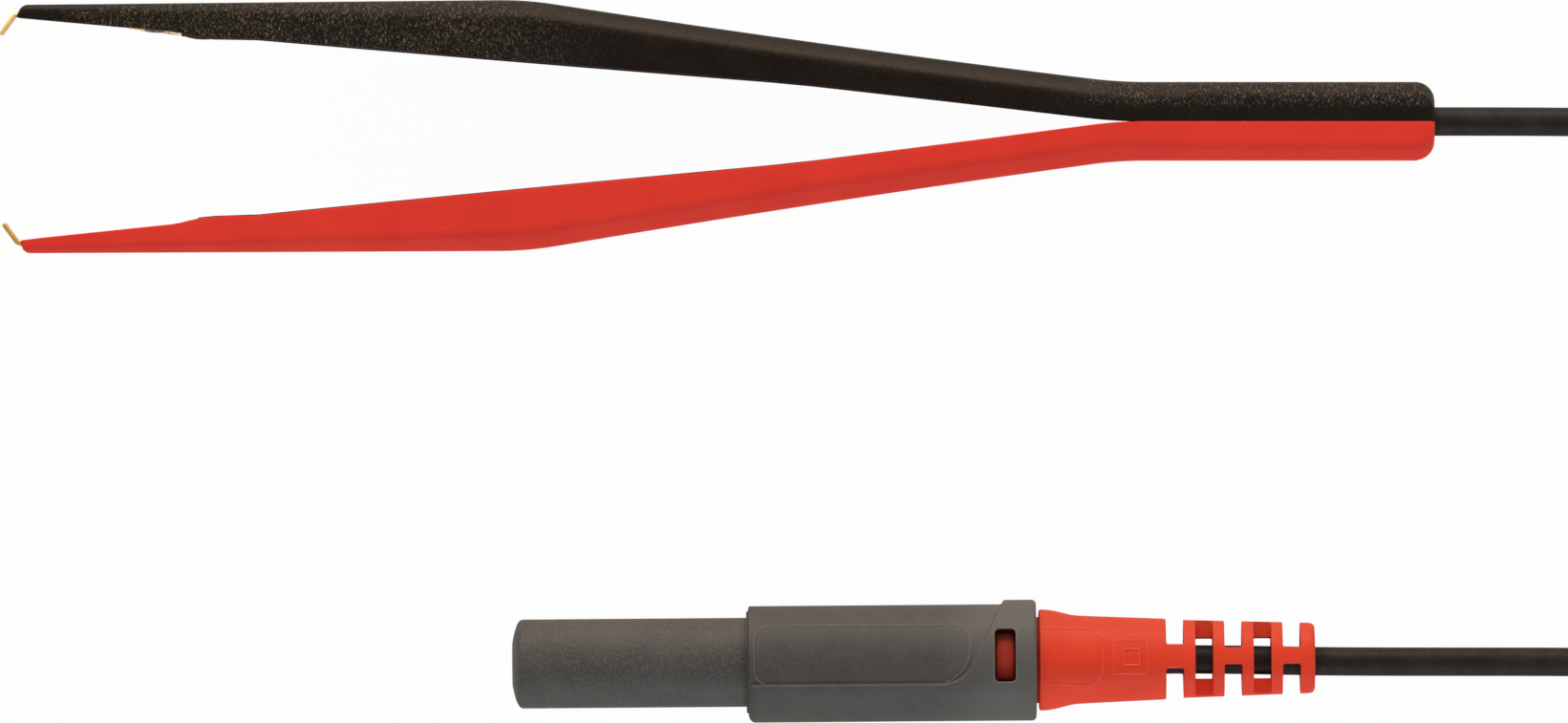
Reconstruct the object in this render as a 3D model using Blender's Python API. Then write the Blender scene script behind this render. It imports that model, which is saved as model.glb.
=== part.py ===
"""Two-pole tweezers test lead: sprung tweezers, one round cable and a 4 mm safety plug.

The tweezers lie on their side with the tips towards -X, black arm towards +Y and red arm
towards -Y. The plug lies beside them with its sleeve towards -X. The table is z = 0 and
the origin is under the middle of the tweezers. Sizes are in millimetres up to the moment
a mesh is made.
"""
import math

import bmesh
import bpy
import numpy as np
from mathutils import Vector

MM = 0.001

# Clearances
REST_GAP = 0.3          # between faces that bear on each other
RUNNING_GAP = 0.2       # round a piece that slides
WIRE_GAP = 0.1          # round a wire in its channel

# Handle block: two moulded shells that meet at the seam
SHELL_LENGTH = 36.25    # flexure to rear face
SHELL_THICKNESS = 4.5   # seam to outer face
HANDLE_WIDTH = 11.0
REAR_CORNER = 2.2
SHELL_BAND = 2.0        # width of the bevelled edge band
FLEX_GAP = 0.5          # slit at the flexure, where the real arm bends
EDGE = 0.35             # small chamfer on the inner edges

# Arms, measured forward from the flexure and outward from the seam
ARM_LENGTH = 126.7
KNEE_AT = 68.0
KNEE_REACH = 14.42
NOSE_REACH = 14.3
NOSE_THICKNESS = 1.5
NOSE_WIDTH = 2.6
NOSE_SLANT = 0.66
OUTER_SAG = 0.3
INNER_KNEE_AT = 37.4
INNER_KNEE_REACH = 4.65
INNER_SAG = 0.15
KNEE_ROUNDING = 3.0
ARM_BAND = 2.4
NOSE_BAND = 0.5
OPEN_TURN = {"black": -0.4, "red": 0.4}     # degrees, the two arms don't stand quite alike
STATION_STEP = 5.0

# Swelling of the inner edge over the wire joint
BUMP_FROM_ROOT = 3.0    # its front lies this far behind the contact wire's end
BUMP_RISE = 3.3
BUMP_LENGTH = 9.9
BUMP_FALL = 5.0
BUMP_HEIGHT = 0.35

# Wire channel along the inner face, its cover strip, and the wire
CHANNEL_WIDTH = 2.0
COVER_THICKNESS = 0.47
COVER_PROUD = 0.12
COVER_ROOT = 4.0
WIRE_DIAMETER = 0.8
WIRE_DIP = 1.8          # length over which the wire dives under the cover

# Contact pin, a bent gold-plated wire that lies in a narrower groove at the nose
PIN_DIAMETER = 0.6
PIN_GROOVE_WIDTH = 1.15
PIN_DEPTH = 0.38        # wire centre below the inner face
PIN_BEND = 54.0         # degrees inward
PIN_OUT = 2.45          # length beyond the bend
PIN_RUN = 14.8          # length from the arm's tip back to the splice
SPLICE_LENGTH = 3.6
SPLICE_DIAMETER = 1.0
SPLICE_DEPTH = 0.05

# Cable and the crimped ring that anchors it in the handle
CABLE_DIAMETER = 3.3
FERRULE_WALL = 0.4
FERRULE_LENGTH = 5.6
FERRULE_FROM_REAR = 13.0
CRIMP_DEPTH = 0.15

# Plug, measured along its axis from the front face of the grip body
PLUG_AT = (3.65, -61.6) # where that face's centre lies on the table
PLUG_TURN = 0.45        # degrees, seen from above
PLUG_ROLL = 8.0         # degrees about its own axis
BODY_RADIUS = 6.95
BODY_LENGTH = 33.1
LIP_OUT = 0.2
LIP_LENGTH = 1.7
LIP_EDGE = 0.55
SHOULDER = 1.1
BODY_REAR_EDGE = 0.5
RECESS_DEPTH = 0.5
RECESS_STEP = 3.36      # the step runs this far below the axis
RECESS_END = 24.85      # where the step would meet the slanted end
RECESS_SLANT = 23.3     # degrees
RECESS_CORNER = 4.2
WINDOW_FRONT = 28.2
WINDOW_LENGTH = 2.4
WINDOW_HEIGHT = 5.9
WINDOW_CORNER = 0.35

# Retractable sleeve and its spring
SLEEVE_RADIUS = 5.12
SLEEVE_OUT = 27.1
SLEEVE_BORE = 3.95
SLEEVE_NOSE = 1.4       # length of the rounded nose
SLEEVE_FRONT = 2.0      # length of the hole in its front
SLEEVE_WALL = 0.65      # round the spring
SLEEVE_SEAT = 8.0       # spring seat, forward of the body's front face
SLEEVE_TRAVEL = 19.0
STOP_SPACE = 2.4        # left behind the sleeve when it is pushed right back
SNAP = 0.2              # how far the sleeve's foot reaches behind the lip
FOOT_LENGTH = 1.0
SPRING_WIRE = 0.5
SPRING_TURNS = 9

# Contact pin of the plug with its ring of spring lamellas, and its carrier
CONTACT_RADIUS = 2.0
CONTACT_OUT = 24.5
NOSE_LENGTH = 2.0
LAMELLA_LENGTH = 11.0
LAMELLA_NECK = 1.5
LAMELLA_BULGE = 0.3
LAMELLA_SHEET = 0.12
LAMELLA_COUNT = 8
CARRIER_FLANGE = 2.7
CARRIER_WALL = 1.2
CUP_DEPTH = 3.0
CUP_BORE = 1.0
CUP_END = 33.0
CONDUCTOR_DIAMETER = 1.2
CABLE_STOP = 34.3       # where the cable's sheath ends inside the plug

# Insert: snap-in spigot, finger grip and ladder-shaped strain relief in one moulding
SPIGOT_RADIUS = 4.95
GRIP_RADIUS = 5.82
WAIST_RADIUS = 5.05
WAIST_AT = 38.4
GRIP_END_RADIUS = 4.65
GRIP_END = 48.0
RELIEF_START_RADIUS = 4.55
RELIEF_END_RADIUS = 4.05
RELIEF_BORE = 2.55
RING_WIDTH = 1.3
SLOT_WIDTH = 2.05
END_RING_WIDTH = 1.65
SLOT_COUNT = 5
FIRST_BRIDGE = 2.6
BRIDGE = 1.8
LUG_SINK = 0.65         # top of the snap lug below the body's surface

# Coil that holds the length of cable outside the photograph
COIL_AWAY = (46.5, -36.03)      # its centre from the middle of the handle's rear face
COIL_TURNS_LOW = 4
COIL_TURNS_HIGH = 3
COIL_MEAN_RADIUS = 18.15

# The cable's route where it isn't coiled, chosen by hand. X and Y are counted from the
# handle's rear face, from the coil's centre or from the cable's end in the plug, and the
# third number is how far the cable has come down to the table, from 0 to 1.
ROUTE_FROM_HANDLE = [
    (-18.0, -0.02, 0), (-9.5, -0.02, 0), (-0.1, -0.02, 0), (6.0, -0.02, 0.05), (12.5, -0.03, 0.34),
    (19.0, -0.08, 0.72), (25.5, -0.23, 0.95), (33.0, -0.73, 1), (41.5, -2.03, 1),
    (50.5, -5.03, 1), (58.5, -9.93, 1), (64.8, -16.23, 1),
]
ROUTE_FROM_COIL = [(-3.0, -26.45, 1), (-11.0, -26.45, 1)]
ROUTE_FROM_PLUG = [
    (71.4, -0.37, 0.99), (63.4, -0.32, 0.92), (56.4, -0.27, 0.79), (49.9, -0.25, 0.60),
    (43.4, -0.23, 0.38), (37.4, -0.20, 0.21), (30.9, -0.15, 0.10), (22.7, 0.01, 0.03),
    (13.7, 0.08, 0.005), (6.4, 0.05, 0),
]
CABLE_LIFT = 0.05       # under the cable where it lies
ROUTE_STEP = 7.5

ROUND = 32              # sides of the plug's turned pieces
PIN_ROOT = ARM_LENGTH - PIN_RUN
BUMP_FRONT = PIN_ROOT - BUMP_FROM_ROOT
MID_Z = HANDLE_WIDTH / 2
SIDES = {"black": 1, "red": -1}
SLEEVE_MOUTH = CONTACT_RADIUS + REST_GAP
CARRIER_OUT = SLEEVE_OUT - SLEEVE_TRAVEL - SLEEVE_FRONT - 2 * REST_GAP
FOOT_FRONT = LIP_LENGTH - LIP_OUT + REST_GAP
SLEEVE_REAR = FOOT_FRONT + FOOT_LENGTH
CARRIER_SHOULDER = SLEEVE_REAR + SLEEVE_TRAVEL + STOP_SPACE
SPRING_BORE = SLEEVE_RADIUS - SLEEVE_WALL
INSERT_FRONT = CARRIER_SHOULDER + CARRIER_FLANGE + 2 * REST_GAP
LIP_BORE = SLEEVE_RADIUS + RUNNING_GAP
FOOT_RADIUS = LIP_BORE + SNAP
CAVITY_RADIUS = FOOT_RADIUS + RUNNING_GAP
REAR_BORE = SPIGOT_RADIUS + REST_GAP
CHANNEL_DEPTH = COVER_THICKNESS - COVER_PROUD + 2 * WIRE_GAP + WIRE_DIAMETER
WIRE_DEPTH = COVER_THICKNESS - COVER_PROUD + WIRE_GAP + WIRE_DIAMETER / 2
PIN_GROOVE_DEPTH = PIN_DEPTH + PIN_DIAMETER / 2 + REST_GAP
WIRE_FRONT = PIN_ROOT - SPLICE_LENGTH - 2 * REST_GAP
COVER_FRONT = WIRE_FRONT - WIRE_DIP
CABLE_BORE = CABLE_DIAMETER / 2 + REST_GAP
FERRULE_RADIUS = CABLE_BORE + FERRULE_WALL


def eased(low, high, value):
    """Smooth step from 0 at low to 1 at high."""
    share = min(max((value - low) / (high - low), 0.0), 1.0)
    return share * share * (3 - 2 * share)


def averaged(line, at):
    """The line's mean over the knee rounding, which turns its corners into curves."""
    samples = np.linspace(at - KNEE_ROUNDING, at + KNEE_ROUNDING, 9)
    return float(np.mean([line(value) for value in samples]))


def sagging(start, end, sag, at):
    """Height at a place on a straight line from start to end that sags in the middle."""
    share = (at - start[0]) / (end[0] - start[0])
    return start[1] + (end[1] - start[1]) * share - 4 * sag * share * (1 - share)


def outer_line(at):
    if at < KNEE_AT:
        return sagging((0, SHELL_THICKNESS), (KNEE_AT, KNEE_REACH), OUTER_SAG, max(at, 0))
    share = (at - KNEE_AT) / (ARM_LENGTH - KNEE_AT)
    return KNEE_REACH + (NOSE_REACH - KNEE_REACH) * share


def inner_line(at):
    root = (0, REST_GAP / 2)
    knee = (INNER_KNEE_AT, INNER_KNEE_REACH)
    nose = (ARM_LENGTH, NOSE_REACH - NOSE_THICKNESS)
    if at < INNER_KNEE_AT:
        return sagging(root, knee, 0, max(at, 0))
    return sagging(knee, nose, INNER_SAG, at)


def bump(at):
    """Swelling of the inner edge over the wire joint."""
    rise = eased(BUMP_FRONT, BUMP_FRONT - BUMP_RISE, at)
    fall = eased(BUMP_FRONT - BUMP_LENGTH, BUMP_FRONT - BUMP_LENGTH + BUMP_FALL, at)
    return BUMP_HEIGHT * rise * fall


def outer_edge(at):
    return averaged(outer_line, at)


def inner_edge(at):
    return averaged(inner_line, at) - bump(at)


def half_width(at):
    share = max(at - KNEE_AT, 0) / (ARM_LENGTH - KNEE_AT)
    return (HANDLE_WIDTH + (NOSE_WIDTH - HANDLE_WIDTH) * share) / 2


def band_width(at):
    share = max(at - KNEE_AT, 0) / (ARM_LENGTH - KNEE_AT)
    return ARM_BAND + (NOSE_BAND - ARM_BAND) * share


def pin_line():
    """Centre line of the contact wire as (along, outward) pairs, from its tip to the splice."""
    inner = NOSE_REACH - NOSE_THICKNESS
    radius = 1.5 * PIN_DIAMETER
    turn = math.radians(PIN_BEND)
    start = Vector((ARM_LENGTH - NOSE_SLANT / 2, inner + PIN_DEPTH))
    bend = [(start.x + radius * math.sin(turn * step / 4),
             start.y - radius * (1 - math.cos(turn * step / 4))) for step in range(5)]
    out = PIN_OUT - PIN_DIAMETER / 2
    tip = (bend[-1][0] + out * math.cos(turn), bend[-1][1] - out * math.sin(turn))
    run = [(at, inner_edge(at) + PIN_DEPTH) for at in np.linspace(ARM_LENGTH - 4, PIN_ROOT + 4, 3)]
    end = (PIN_ROOT, inner_edge(PIN_ROOT) + SPLICE_DEPTH)
    return [tip] + bend[::-1] + run + [end]


def turned_point(along, outward, side):
    """A place on an arm as (X from the flexure, outward from the seam), the arm standing open."""
    turn = math.radians(OPEN_TURN[side])
    depth = outward - SHELL_THICKNESS / 2
    x = -along * math.cos(turn) + depth * math.sin(turn)
    return x, SHELL_THICKNESS / 2 + along * math.sin(turn) + depth * math.cos(turn)


def arm_reach(side):
    places = np.linspace(0, ARM_LENGTH, 200)
    return max(turned_point(at, outer_edge(at), side)[1] for at in places)


def tip_reach():
    along, outward = pin_line()[0]
    return max(-turned_point(along, outward, side)[0] for side in SIDES) + PIN_DIAMETER / 2


FLEX_X = (tip_reach() - SHELL_LENGTH) / 2
SEAM_Y = (arm_reach("red") - arm_reach("black")) / 2
REAR_X = FLEX_X + SHELL_LENGTH
CABLE_START = REAR_X + ROUTE_FROM_HANDLE[0][0]
COIL_CENTRE = (REAR_X + COIL_AWAY[0], SEAM_Y + COIL_AWAY[1])


def clear_scene():
    for thing in list(bpy.data.objects):
        bpy.data.objects.remove(thing, do_unlink=True)


def material(name, colour, roughness, metallic=0.0):
    made = bpy.data.materials.get(name) or bpy.data.materials.new(name)
    made.use_nodes = True
    shader = made.node_tree.nodes["Principled BSDF"]
    shader.inputs["Base Color"].default_value = (*colour, 1.0)
    shader.inputs["Roughness"].default_value = roughness
    shader.inputs["Metallic"].default_value = metallic
    return made


def black_plastic():
    return material("black_plastic", (0.012, 0.010, 0.009), 0.5)


def red_plastic():
    return material("red_plastic", (0.66, 0.045, 0.028), 0.5)


def plug_red():
    return material("plug_red", (0.80, 0.065, 0.025), 0.45)


def grey_plastic():
    return material("grey_plastic", (0.115, 0.105, 0.092), 0.6)


def cable_black():
    return material("cable_black", (0.015, 0.013, 0.012), 0.4)


def gold():
    return material("gold_plate", (0.90, 0.62, 0.22), 0.25, 1.0)


def tin():
    return material("tin", (0.75, 0.73, 0.68), 0.3, 1.0)


def nickel():
    return material("nickel", (0.70, 0.68, 0.63), 0.22, 1.0)


def steel():
    return material("spring_steel", (0.55, 0.55, 0.55), 0.3, 1.0)


def copper():
    return material("copper", (0.80, 0.40, 0.25), 0.35, 1.0)


def empty(name, place, rotation=(0, 0, 0)):
    made = bpy.data.objects.new(name, None)
    made.location = Vector(place) * MM
    made.rotation_euler = rotation
    bpy.context.collection.objects.link(made)
    return made


def solid(name, points, faces, finish, parent=None, place=(0, 0, 0)):
    """A mesh object from points in millimetres, its faces turned outward and shaded smooth."""
    mesh = bpy.data.meshes.new(name)
    mesh.from_pydata([Vector(point) * MM for point in points], [], faces)
    work = bmesh.new()
    work.from_mesh(mesh)
    bmesh.ops.recalc_face_normals(work, faces=work.faces)
    work.to_mesh(mesh)
    work.free()
    mesh.shade_smooth()
    mesh.set_sharp_from_angle(angle=math.radians(32))
    made = bpy.data.objects.new(name, mesh)
    made.location = Vector(place) * MM
    made.parent = parent
    if finish:
        mesh.materials.append(finish)
    else:
        made.hide_render = True
        made.display_type = "WIRE"
    bpy.context.collection.objects.link(made)
    return made


def lofted(name, rings, finish, **where):
    """A skin over equal rings of points, closed at both ends."""
    count = len(rings[0])
    points = [point for ring in rings for point in ring]
    faces = []
    for row in range(len(rings) - 1):
        for column in range(count):
            near = row * count + column
            right = row * count + (column + 1) % count
            faces.append((near, right, right + count, near + count))
    faces.append(tuple(range(count)))
    faces.append(tuple(range(len(points) - count, len(points))))
    return solid(name, points, faces, finish, **where)


def turned(name, outline, finish, sides=ROUND, **where):
    """A ring turned about the X axis from a closed outline of (along, radius) pairs."""
    points = []
    for step in range(sides):
        angle = 2 * math.pi * step / sides
        points += [(x, r * math.cos(angle), r * math.sin(angle)) for x, r in outline]
    count = len(outline)
    faces = []
    for step in range(sides):
        here, there = step * count, (step + 1) % sides * count
        for row in range(count):
            nxt = (row + 1) % count
            faces.append((here + row, here + nxt, there + nxt, there + row))
    return solid(name, points, faces, finish, **where)


def turned_solid(name, outline, finish, sides=ROUND, **where):
    """A solid turned about the X axis from an open outline, closed by a flat cap at each end."""
    rings = []
    for x, r in outline:
        angles = [2 * math.pi * step / sides for step in range(sides)]
        rings.append([(x, r * math.cos(angle), r * math.sin(angle)) for angle in angles])
    return lofted(name, rings, finish, **where)


def swept(name, line, radii, finish, sides, **where):
    """A round rod along a line of points, with its own radius at each."""
    path = [Vector(point) for point in line]
    rings = []
    for index, centre in enumerate(path):
        ahead = path[min(index + 1, len(path) - 1)] - path[max(index - 1, 0)]
        ahead.normalize()
        across = ahead.cross(Vector((0, 0, 1))).normalized()
        up = across.cross(ahead)
        ring = []
        for step in range(sides):
            angle = 2 * math.pi * step / sides
            ring.append(centre + radii[index] * (math.cos(angle) * across + math.sin(angle) * up))
        rings.append(ring)
    return lofted(name, rings, finish, **where)


def box(name, low, high, finish=None, **where):
    rings = [[(x, low[1], low[2]), (x, high[1], low[2]), (x, high[1], high[2]), (x, low[1], high[2])]
             for x in (low[0], high[0])]
    return lofted(name, rings, finish, **where)


def extruded(name, outline, bottom, top, finish=None, **where):
    """An outline of (x, y) pairs drawn out along Z."""
    rings = [[(x, y, z) for x, y in outline] for z in (bottom, top)]
    return lofted(name, rings, finish, **where)


def combine(target, tool, operation):
    step = target.modifiers.new(tool.name, "BOOLEAN")
    step.operation = operation
    step.solver = "EXACT"
    step.object = tool
    tool.hide_render = True
    tool.display_type = "WIRE"


def fillet(corner, before, after, radius, steps):
    """Points of an arc of the given radius in a corner between two straight runs."""
    corner, before, after = Vector(corner), Vector(before), Vector(after)
    into, away = (before - corner).normalized(), (after - corner).normalized()
    half = into.angle(away) / 2
    centre = corner + (into + away).normalized() * radius / math.sin(half)
    start, end = corner + into * radius / math.tan(half), corner + away * radius / math.tan(half)
    points = []
    for step in range(steps + 1):
        spoke = (start - centre).lerp(end - centre, step / steps).normalized()
        points.append(tuple(centre + spoke * radius))
    return points


def smooth_route(points, step):
    """Points about a step apart on a smooth curve through the route's own points."""
    knots = [Vector(point) for point in points]
    knots = [2 * knots[0] - knots[1]] + knots + [2 * knots[-1] - knots[-2]]
    fine = []
    for index in range(1, len(knots) - 2):
        a, b, c, d = knots[index - 1:index + 3]
        for share in np.linspace(0, 1, 20, endpoint=False).tolist():
            fine.append(b + 0.5 * share * (c - a + share * (2 * a - 5 * b + 4 * c - d
                        + share * (3 * (b - c) + d - a))))
    fine.append(knots[-2])
    lengths = np.cumsum([0] + [(fine[i + 1] - fine[i]).length for i in range(len(fine) - 1)])
    places = np.linspace(0, lengths[-1], int(lengths[-1] / step) + 2)
    columns = [np.interp(places, lengths, [point[axis] for point in fine]) for axis in range(3)]
    return [Vector(point) for point in zip(*columns)]


def section(inner, outer, half, band, width, depth):
    """Outline of an arm or shell across its length, as (outward, z) pairs."""
    edge = min(EDGE, (half - width / 2) / 3)
    band = min(band, 0.6 * (outer - inner))
    crown = 0.42 * band
    upper = [(inner + depth, width / 2), (inner, width / 2), (inner, half - edge), (inner + edge, half),
             (outer - band, half), (outer - crown, half - crown), (outer, half - band)]
    return upper + [(outward, -z) for outward, z in reversed(upper)]


def arm_ring(at, side, lean=0.0, shrink=0.0):
    """One ring of an arm's skin, in the frame of its flexure."""
    inner, outer = inner_edge(at), outer_edge(at) - shrink
    wide = at < PIN_ROOT + WIRE_GAP / 2
    width = CHANNEL_WIDTH if wide else PIN_GROOVE_WIDTH
    depth = CHANNEL_DEPTH if wide else PIN_GROOVE_DEPTH
    outline = section(inner, outer, half_width(at) - shrink / 2, band_width(at), width, depth)
    sign = SIDES[side]
    return [(-at + lean * (outward - inner), sign * (outward - SHELL_THICKNESS / 2), z)
            for outward, z in outline]


def arm_places(low, high):
    """Stations along an arm, shared by the arm, its wire and the wire's cover."""
    bump_rear = BUMP_FRONT - BUMP_LENGTH
    places = set(np.arange(STATION_STEP, bump_rear - 1, STATION_STEP))
    places |= {BUMP_FRONT, BUMP_FRONT - BUMP_RISE / 3, BUMP_FRONT - BUMP_RISE * 2 / 3,
               BUMP_FRONT - BUMP_RISE, bump_rear + BUMP_FALL, bump_rear + BUMP_FALL / 2, bump_rear}
    places |= {KNEE_AT - KNEE_ROUNDING / 2, KNEE_AT + KNEE_ROUNDING / 2, PIN_ROOT + STATION_STEP}
    return [low] + sorted(at for at in places if low + 0.5 < at < high - 0.5) + [high]


def build_arm(side, finish, axis):
    places = arm_places(FLEX_GAP / 2, PIN_ROOT) + arm_places(PIN_ROOT + WIRE_GAP, ARM_LENGTH - 3)
    rings = [arm_ring(at, side) for at in places]
    lean = NOSE_SLANT / NOSE_THICKNESS
    rings.append(arm_ring(ARM_LENGTH - 1.2, side, lean))
    rings.append(arm_ring(ARM_LENGTH - 0.4, side, lean, 0.08))
    rings.append(arm_ring(ARM_LENGTH - 0.1, side, lean, 0.35))
    lofted(f"{side}_arm", rings, finish, parent=axis)


def along_arm(side, places, depth_of):
    """Points along an arm's inner face, at the depth that the function gives below it."""
    sign = SIDES[side]
    return [(-at, sign * (inner_edge(at) + depth_of(at) - SHELL_THICKNESS / 2), 0.0) for at in places]


def build_contact_pin(side, axis):
    sign = SIDES[side]
    line = [(-along, sign * (outward - SHELL_THICKNESS / 2), 0.0) for along, outward in pin_line()]
    tip, bend = Vector(line[0]), Vector(line[1])
    ahead = (tip - bend).normalized()
    radius = PIN_DIAMETER / 2
    dome = [tuple(tip + ahead * radius * math.sin(angle)) for angle in (1.3, 0.9, 0.5)]
    radii = [radius * math.cos(angle) for angle in (1.3, 0.9, 0.5)] + [radius] * len(line)
    swept(f"{side}_contact_pin", dome + line, radii, gold(), 8, parent=axis)


def build_splice(side, axis):
    start = PIN_ROOT - REST_GAP
    shares = (0, 0.08, 0.3, 0.38, 0.5, 0.62, 0.7, 0.92, 1)
    swell = (0.6, 0.95, 1, 0.8, 0.82, 0.8, 1, 0.95, 0.6)
    places = [start - SPLICE_LENGTH * share for share in shares]
    line = along_arm(side, places, lambda at: SPLICE_DEPTH)
    radii = [SPLICE_DIAMETER / 2 * size for size in swell]
    swept(f"{side}_splice", line, radii, tin(), 8, parent=axis)


def build_arm_wire(side, finish, axis):
    def depth(at):
        return WIRE_DEPTH + (SPLICE_DEPTH - WIRE_DEPTH) * eased(COVER_FRONT, WIRE_FRONT, at)

    dive = [COVER_FRONT + WIRE_DIP * share for share in (0.25, 0.5, 0.75, 1)]
    line = along_arm(side, arm_places(FLEX_GAP, COVER_FRONT) + dive, depth)
    swept(f"{side}_arm_wire", line, [WIRE_DIAMETER / 2] * len(line), finish, 6, parent=axis)


def build_cover(side, axis):
    half = CHANNEL_WIDTH / 2 - RUNNING_GAP
    low, high = -COVER_PROUD, COVER_THICKNESS - COVER_PROUD
    sign = SIDES[side]
    rings = []
    for at in arm_places(COVER_ROOT, COVER_FRONT):
        corners = [(low, half * 0.8), (low * 0.4, half), (high, half), (high, -half), (low * 0.4, -half),
                   (low, -half * 0.8)]
        level = inner_edge(at) - SHELL_THICKNESS / 2
        rings.append([(-at, sign * (level + outward), z) for outward, z in corners])
    lofted(f"{side}_wire_cover", rings, black_plastic(), parent=axis)


def build_shell(side, finish, bore):
    """One half of the handle block, with the wire channel along its seam face."""
    sign = SIDES[side]
    inner = REST_GAP / 2
    rings = []

    def ring(x, outer, half, band):
        outline = section(inner, outer, half, band, CHANNEL_WIDTH, CHANNEL_DEPTH)
        rings.append([(FLEX_X + x, SEAM_Y + sign * outward, MID_Z + z) for outward, z in outline])

    half = HANDLE_WIDTH / 2
    ring(FLEX_GAP / 2, outer_edge(-FLEX_GAP / 2), half, ARM_BAND)
    ring(KNEE_ROUNDING, SHELL_THICKNESS, half, (ARM_BAND + SHELL_BAND) / 2)
    ring(3 * KNEE_ROUNDING, SHELL_THICKNESS, half, SHELL_BAND)
    for step in range(6):
        angle = math.radians(90 * step / 5)
        drop = REAR_CORNER * (1 - math.cos(angle))
        back = REAR_CORNER * (1 - math.sin(angle))
        ring(SHELL_LENGTH - back, SHELL_THICKNESS - drop, half - EDGE * eased(3, 5, step), SHELL_BAND)
    made = lofted(f"{side}_handle_shell", rings, finish)
    combine(made, bore, "DIFFERENCE")


def build_handle_bore():
    """Cutter for the cable bore and the pocket of the crimped ring, on the seam."""
    pocket_rear = REAR_X - FERRULE_FROM_REAR + REST_GAP
    pocket_front = pocket_rear - FERRULE_LENGTH - 2 * REST_GAP
    pocket = FERRULE_RADIUS + REST_GAP
    outline = [(pocket_front, pocket), (pocket_rear, pocket), (pocket_rear, CABLE_BORE),
               (REAR_X + 1, CABLE_BORE)]
    return turned_solid("handle_bore_cutter", outline, None, 24, place=(0, SEAM_Y, MID_Z))


def build_ferrule():
    """Ring crimped round the cable, which keeps it from being pulled out of the handle."""
    rear = REAR_X - FERRULE_FROM_REAR
    front = rear - FERRULE_LENGTH
    waist = FERRULE_RADIUS - CRIMP_DEPTH
    third = FERRULE_LENGTH / 3
    outline = [(front, CABLE_BORE), (rear, CABLE_BORE), (rear, FERRULE_RADIUS),
               (rear - 0.8 * third, FERRULE_RADIUS), (rear - third, waist), (front + third, waist),
               (front + 0.8 * third, FERRULE_RADIUS), (front, FERRULE_RADIUS)]
    turned("cable_ferrule", outline, tin(), 24, place=(0, SEAM_Y, MID_Z))


def build_wire_tail(side, finish):
    """Insulated core between the cable's end and the flexure."""
    sign = SIDES[side]
    depth = SEAM_Y + sign * (REST_GAP / 2 + WIRE_DEPTH)
    places = np.linspace(CABLE_START - REST_GAP, FLEX_X + FLEX_GAP, 4)
    line = [(x, depth, MID_Z) for x in places]
    swept(f"{side}_wire_tail", line, [WIRE_DIAMETER / 2] * len(line), finish, 6)


def build_tweezers():
    bore = build_handle_bore()
    skins = {"black": black_plastic(), "red": red_plastic()}
    for side, sign in SIDES.items():
        place = (FLEX_X, SEAM_Y + sign * SHELL_THICKNESS / 2, MID_Z)
        axis = empty(f"{side}_flexure", place, (0, 0, -sign * math.radians(OPEN_TURN[side])))
        build_arm(side, skins[side], axis)
        build_contact_pin(side, axis)
        build_splice(side, axis)
        build_arm_wire(side, skins[side], axis)
        build_cover(side, axis)
        build_shell(side, skins[side], bore)
        build_wire_tail(side, skins[side])
    build_ferrule()


def cable_run(name, route):
    """A straight-lying stretch of the cable, as a bevelled curve."""
    points = smooth_route(route, ROUTE_STEP)
    curve = bpy.data.curves.new(name, "CURVE")
    curve.dimensions = "3D"
    curve.bevel_depth = CABLE_DIAMETER / 2 * MM
    curve.bevel_resolution = 2
    curve.use_fill_caps = True
    line = curve.splines.new("POLY")
    line.points.add(len(points) - 1)
    for knot, point in zip(line.points, points):
        knot.co = (*(point * MM), 1.0)
    curve.materials.append(cable_black())
    made = bpy.data.objects.new(name, curve)
    bpy.context.collection.objects.link(made)


def build_coil():
    """Plain ring with the outer shape of the coiled turns."""
    across = CABLE_DIAMETER * COIL_TURNS_LOW / 2
    across_high = CABLE_DIAMETER * COIL_TURNS_HIGH / 2
    layer = CABLE_DIAMETER * math.sqrt(3) / 2
    top = CABLE_DIAMETER + layer
    edge = CABLE_DIAMETER * 0.25
    profile = [(-across + edge, 0), (across - edge, 0), (across, edge), (across, layer),
               (across_high, top - edge / 2), (across_high - edge, top), (-across_high + edge, top),
               (-across_high, top - edge / 2), (-across, layer), (-across, edge)]
    outline = [(z, COIL_MEAN_RADIUS + r) for r, z in profile]
    made = turned("cable_coil", outline, cable_black(), 40, place=(*COIL_CENTRE, 0))
    made.rotation_euler = (0, -math.pi / 2, 0)


def rounded_nose(front, radius, mouth, length):
    """Nose of the sleeve, which swells from the hole in its front to the full radius."""
    rim = mouth + 0.15
    points = [(front + 0.15, mouth), (front, rim)]
    for share in (0.07, 0.17, 0.32, 0.55, 1.0):
        points.append((front + length * share, radius - (radius - rim) * (1 - share) ** 3))
    return points


def build_sleeve(axis):
    """Sleeve that slides back into the grip body, with the spring's seat inside."""
    outline = rounded_nose(-SLEEVE_OUT, SLEEVE_RADIUS, SLEEVE_MOUTH, SLEEVE_NOSE)
    outline += [(FOOT_FRONT, SLEEVE_RADIUS), (FOOT_FRONT, FOOT_RADIUS),
                (SLEEVE_REAR - 0.3, FOOT_RADIUS), (SLEEVE_REAR, FOOT_RADIUS - 0.3),
                (SLEEVE_REAR, SPRING_BORE), (-SLEEVE_SEAT, SPRING_BORE), (-SLEEVE_SEAT, SLEEVE_BORE),
                (SLEEVE_FRONT - SLEEVE_OUT, SLEEVE_BORE), (SLEEVE_FRONT - SLEEVE_OUT, SLEEVE_MOUTH)]
    turned("retractable_sleeve", outline, grey_plastic(), parent=axis)


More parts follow.
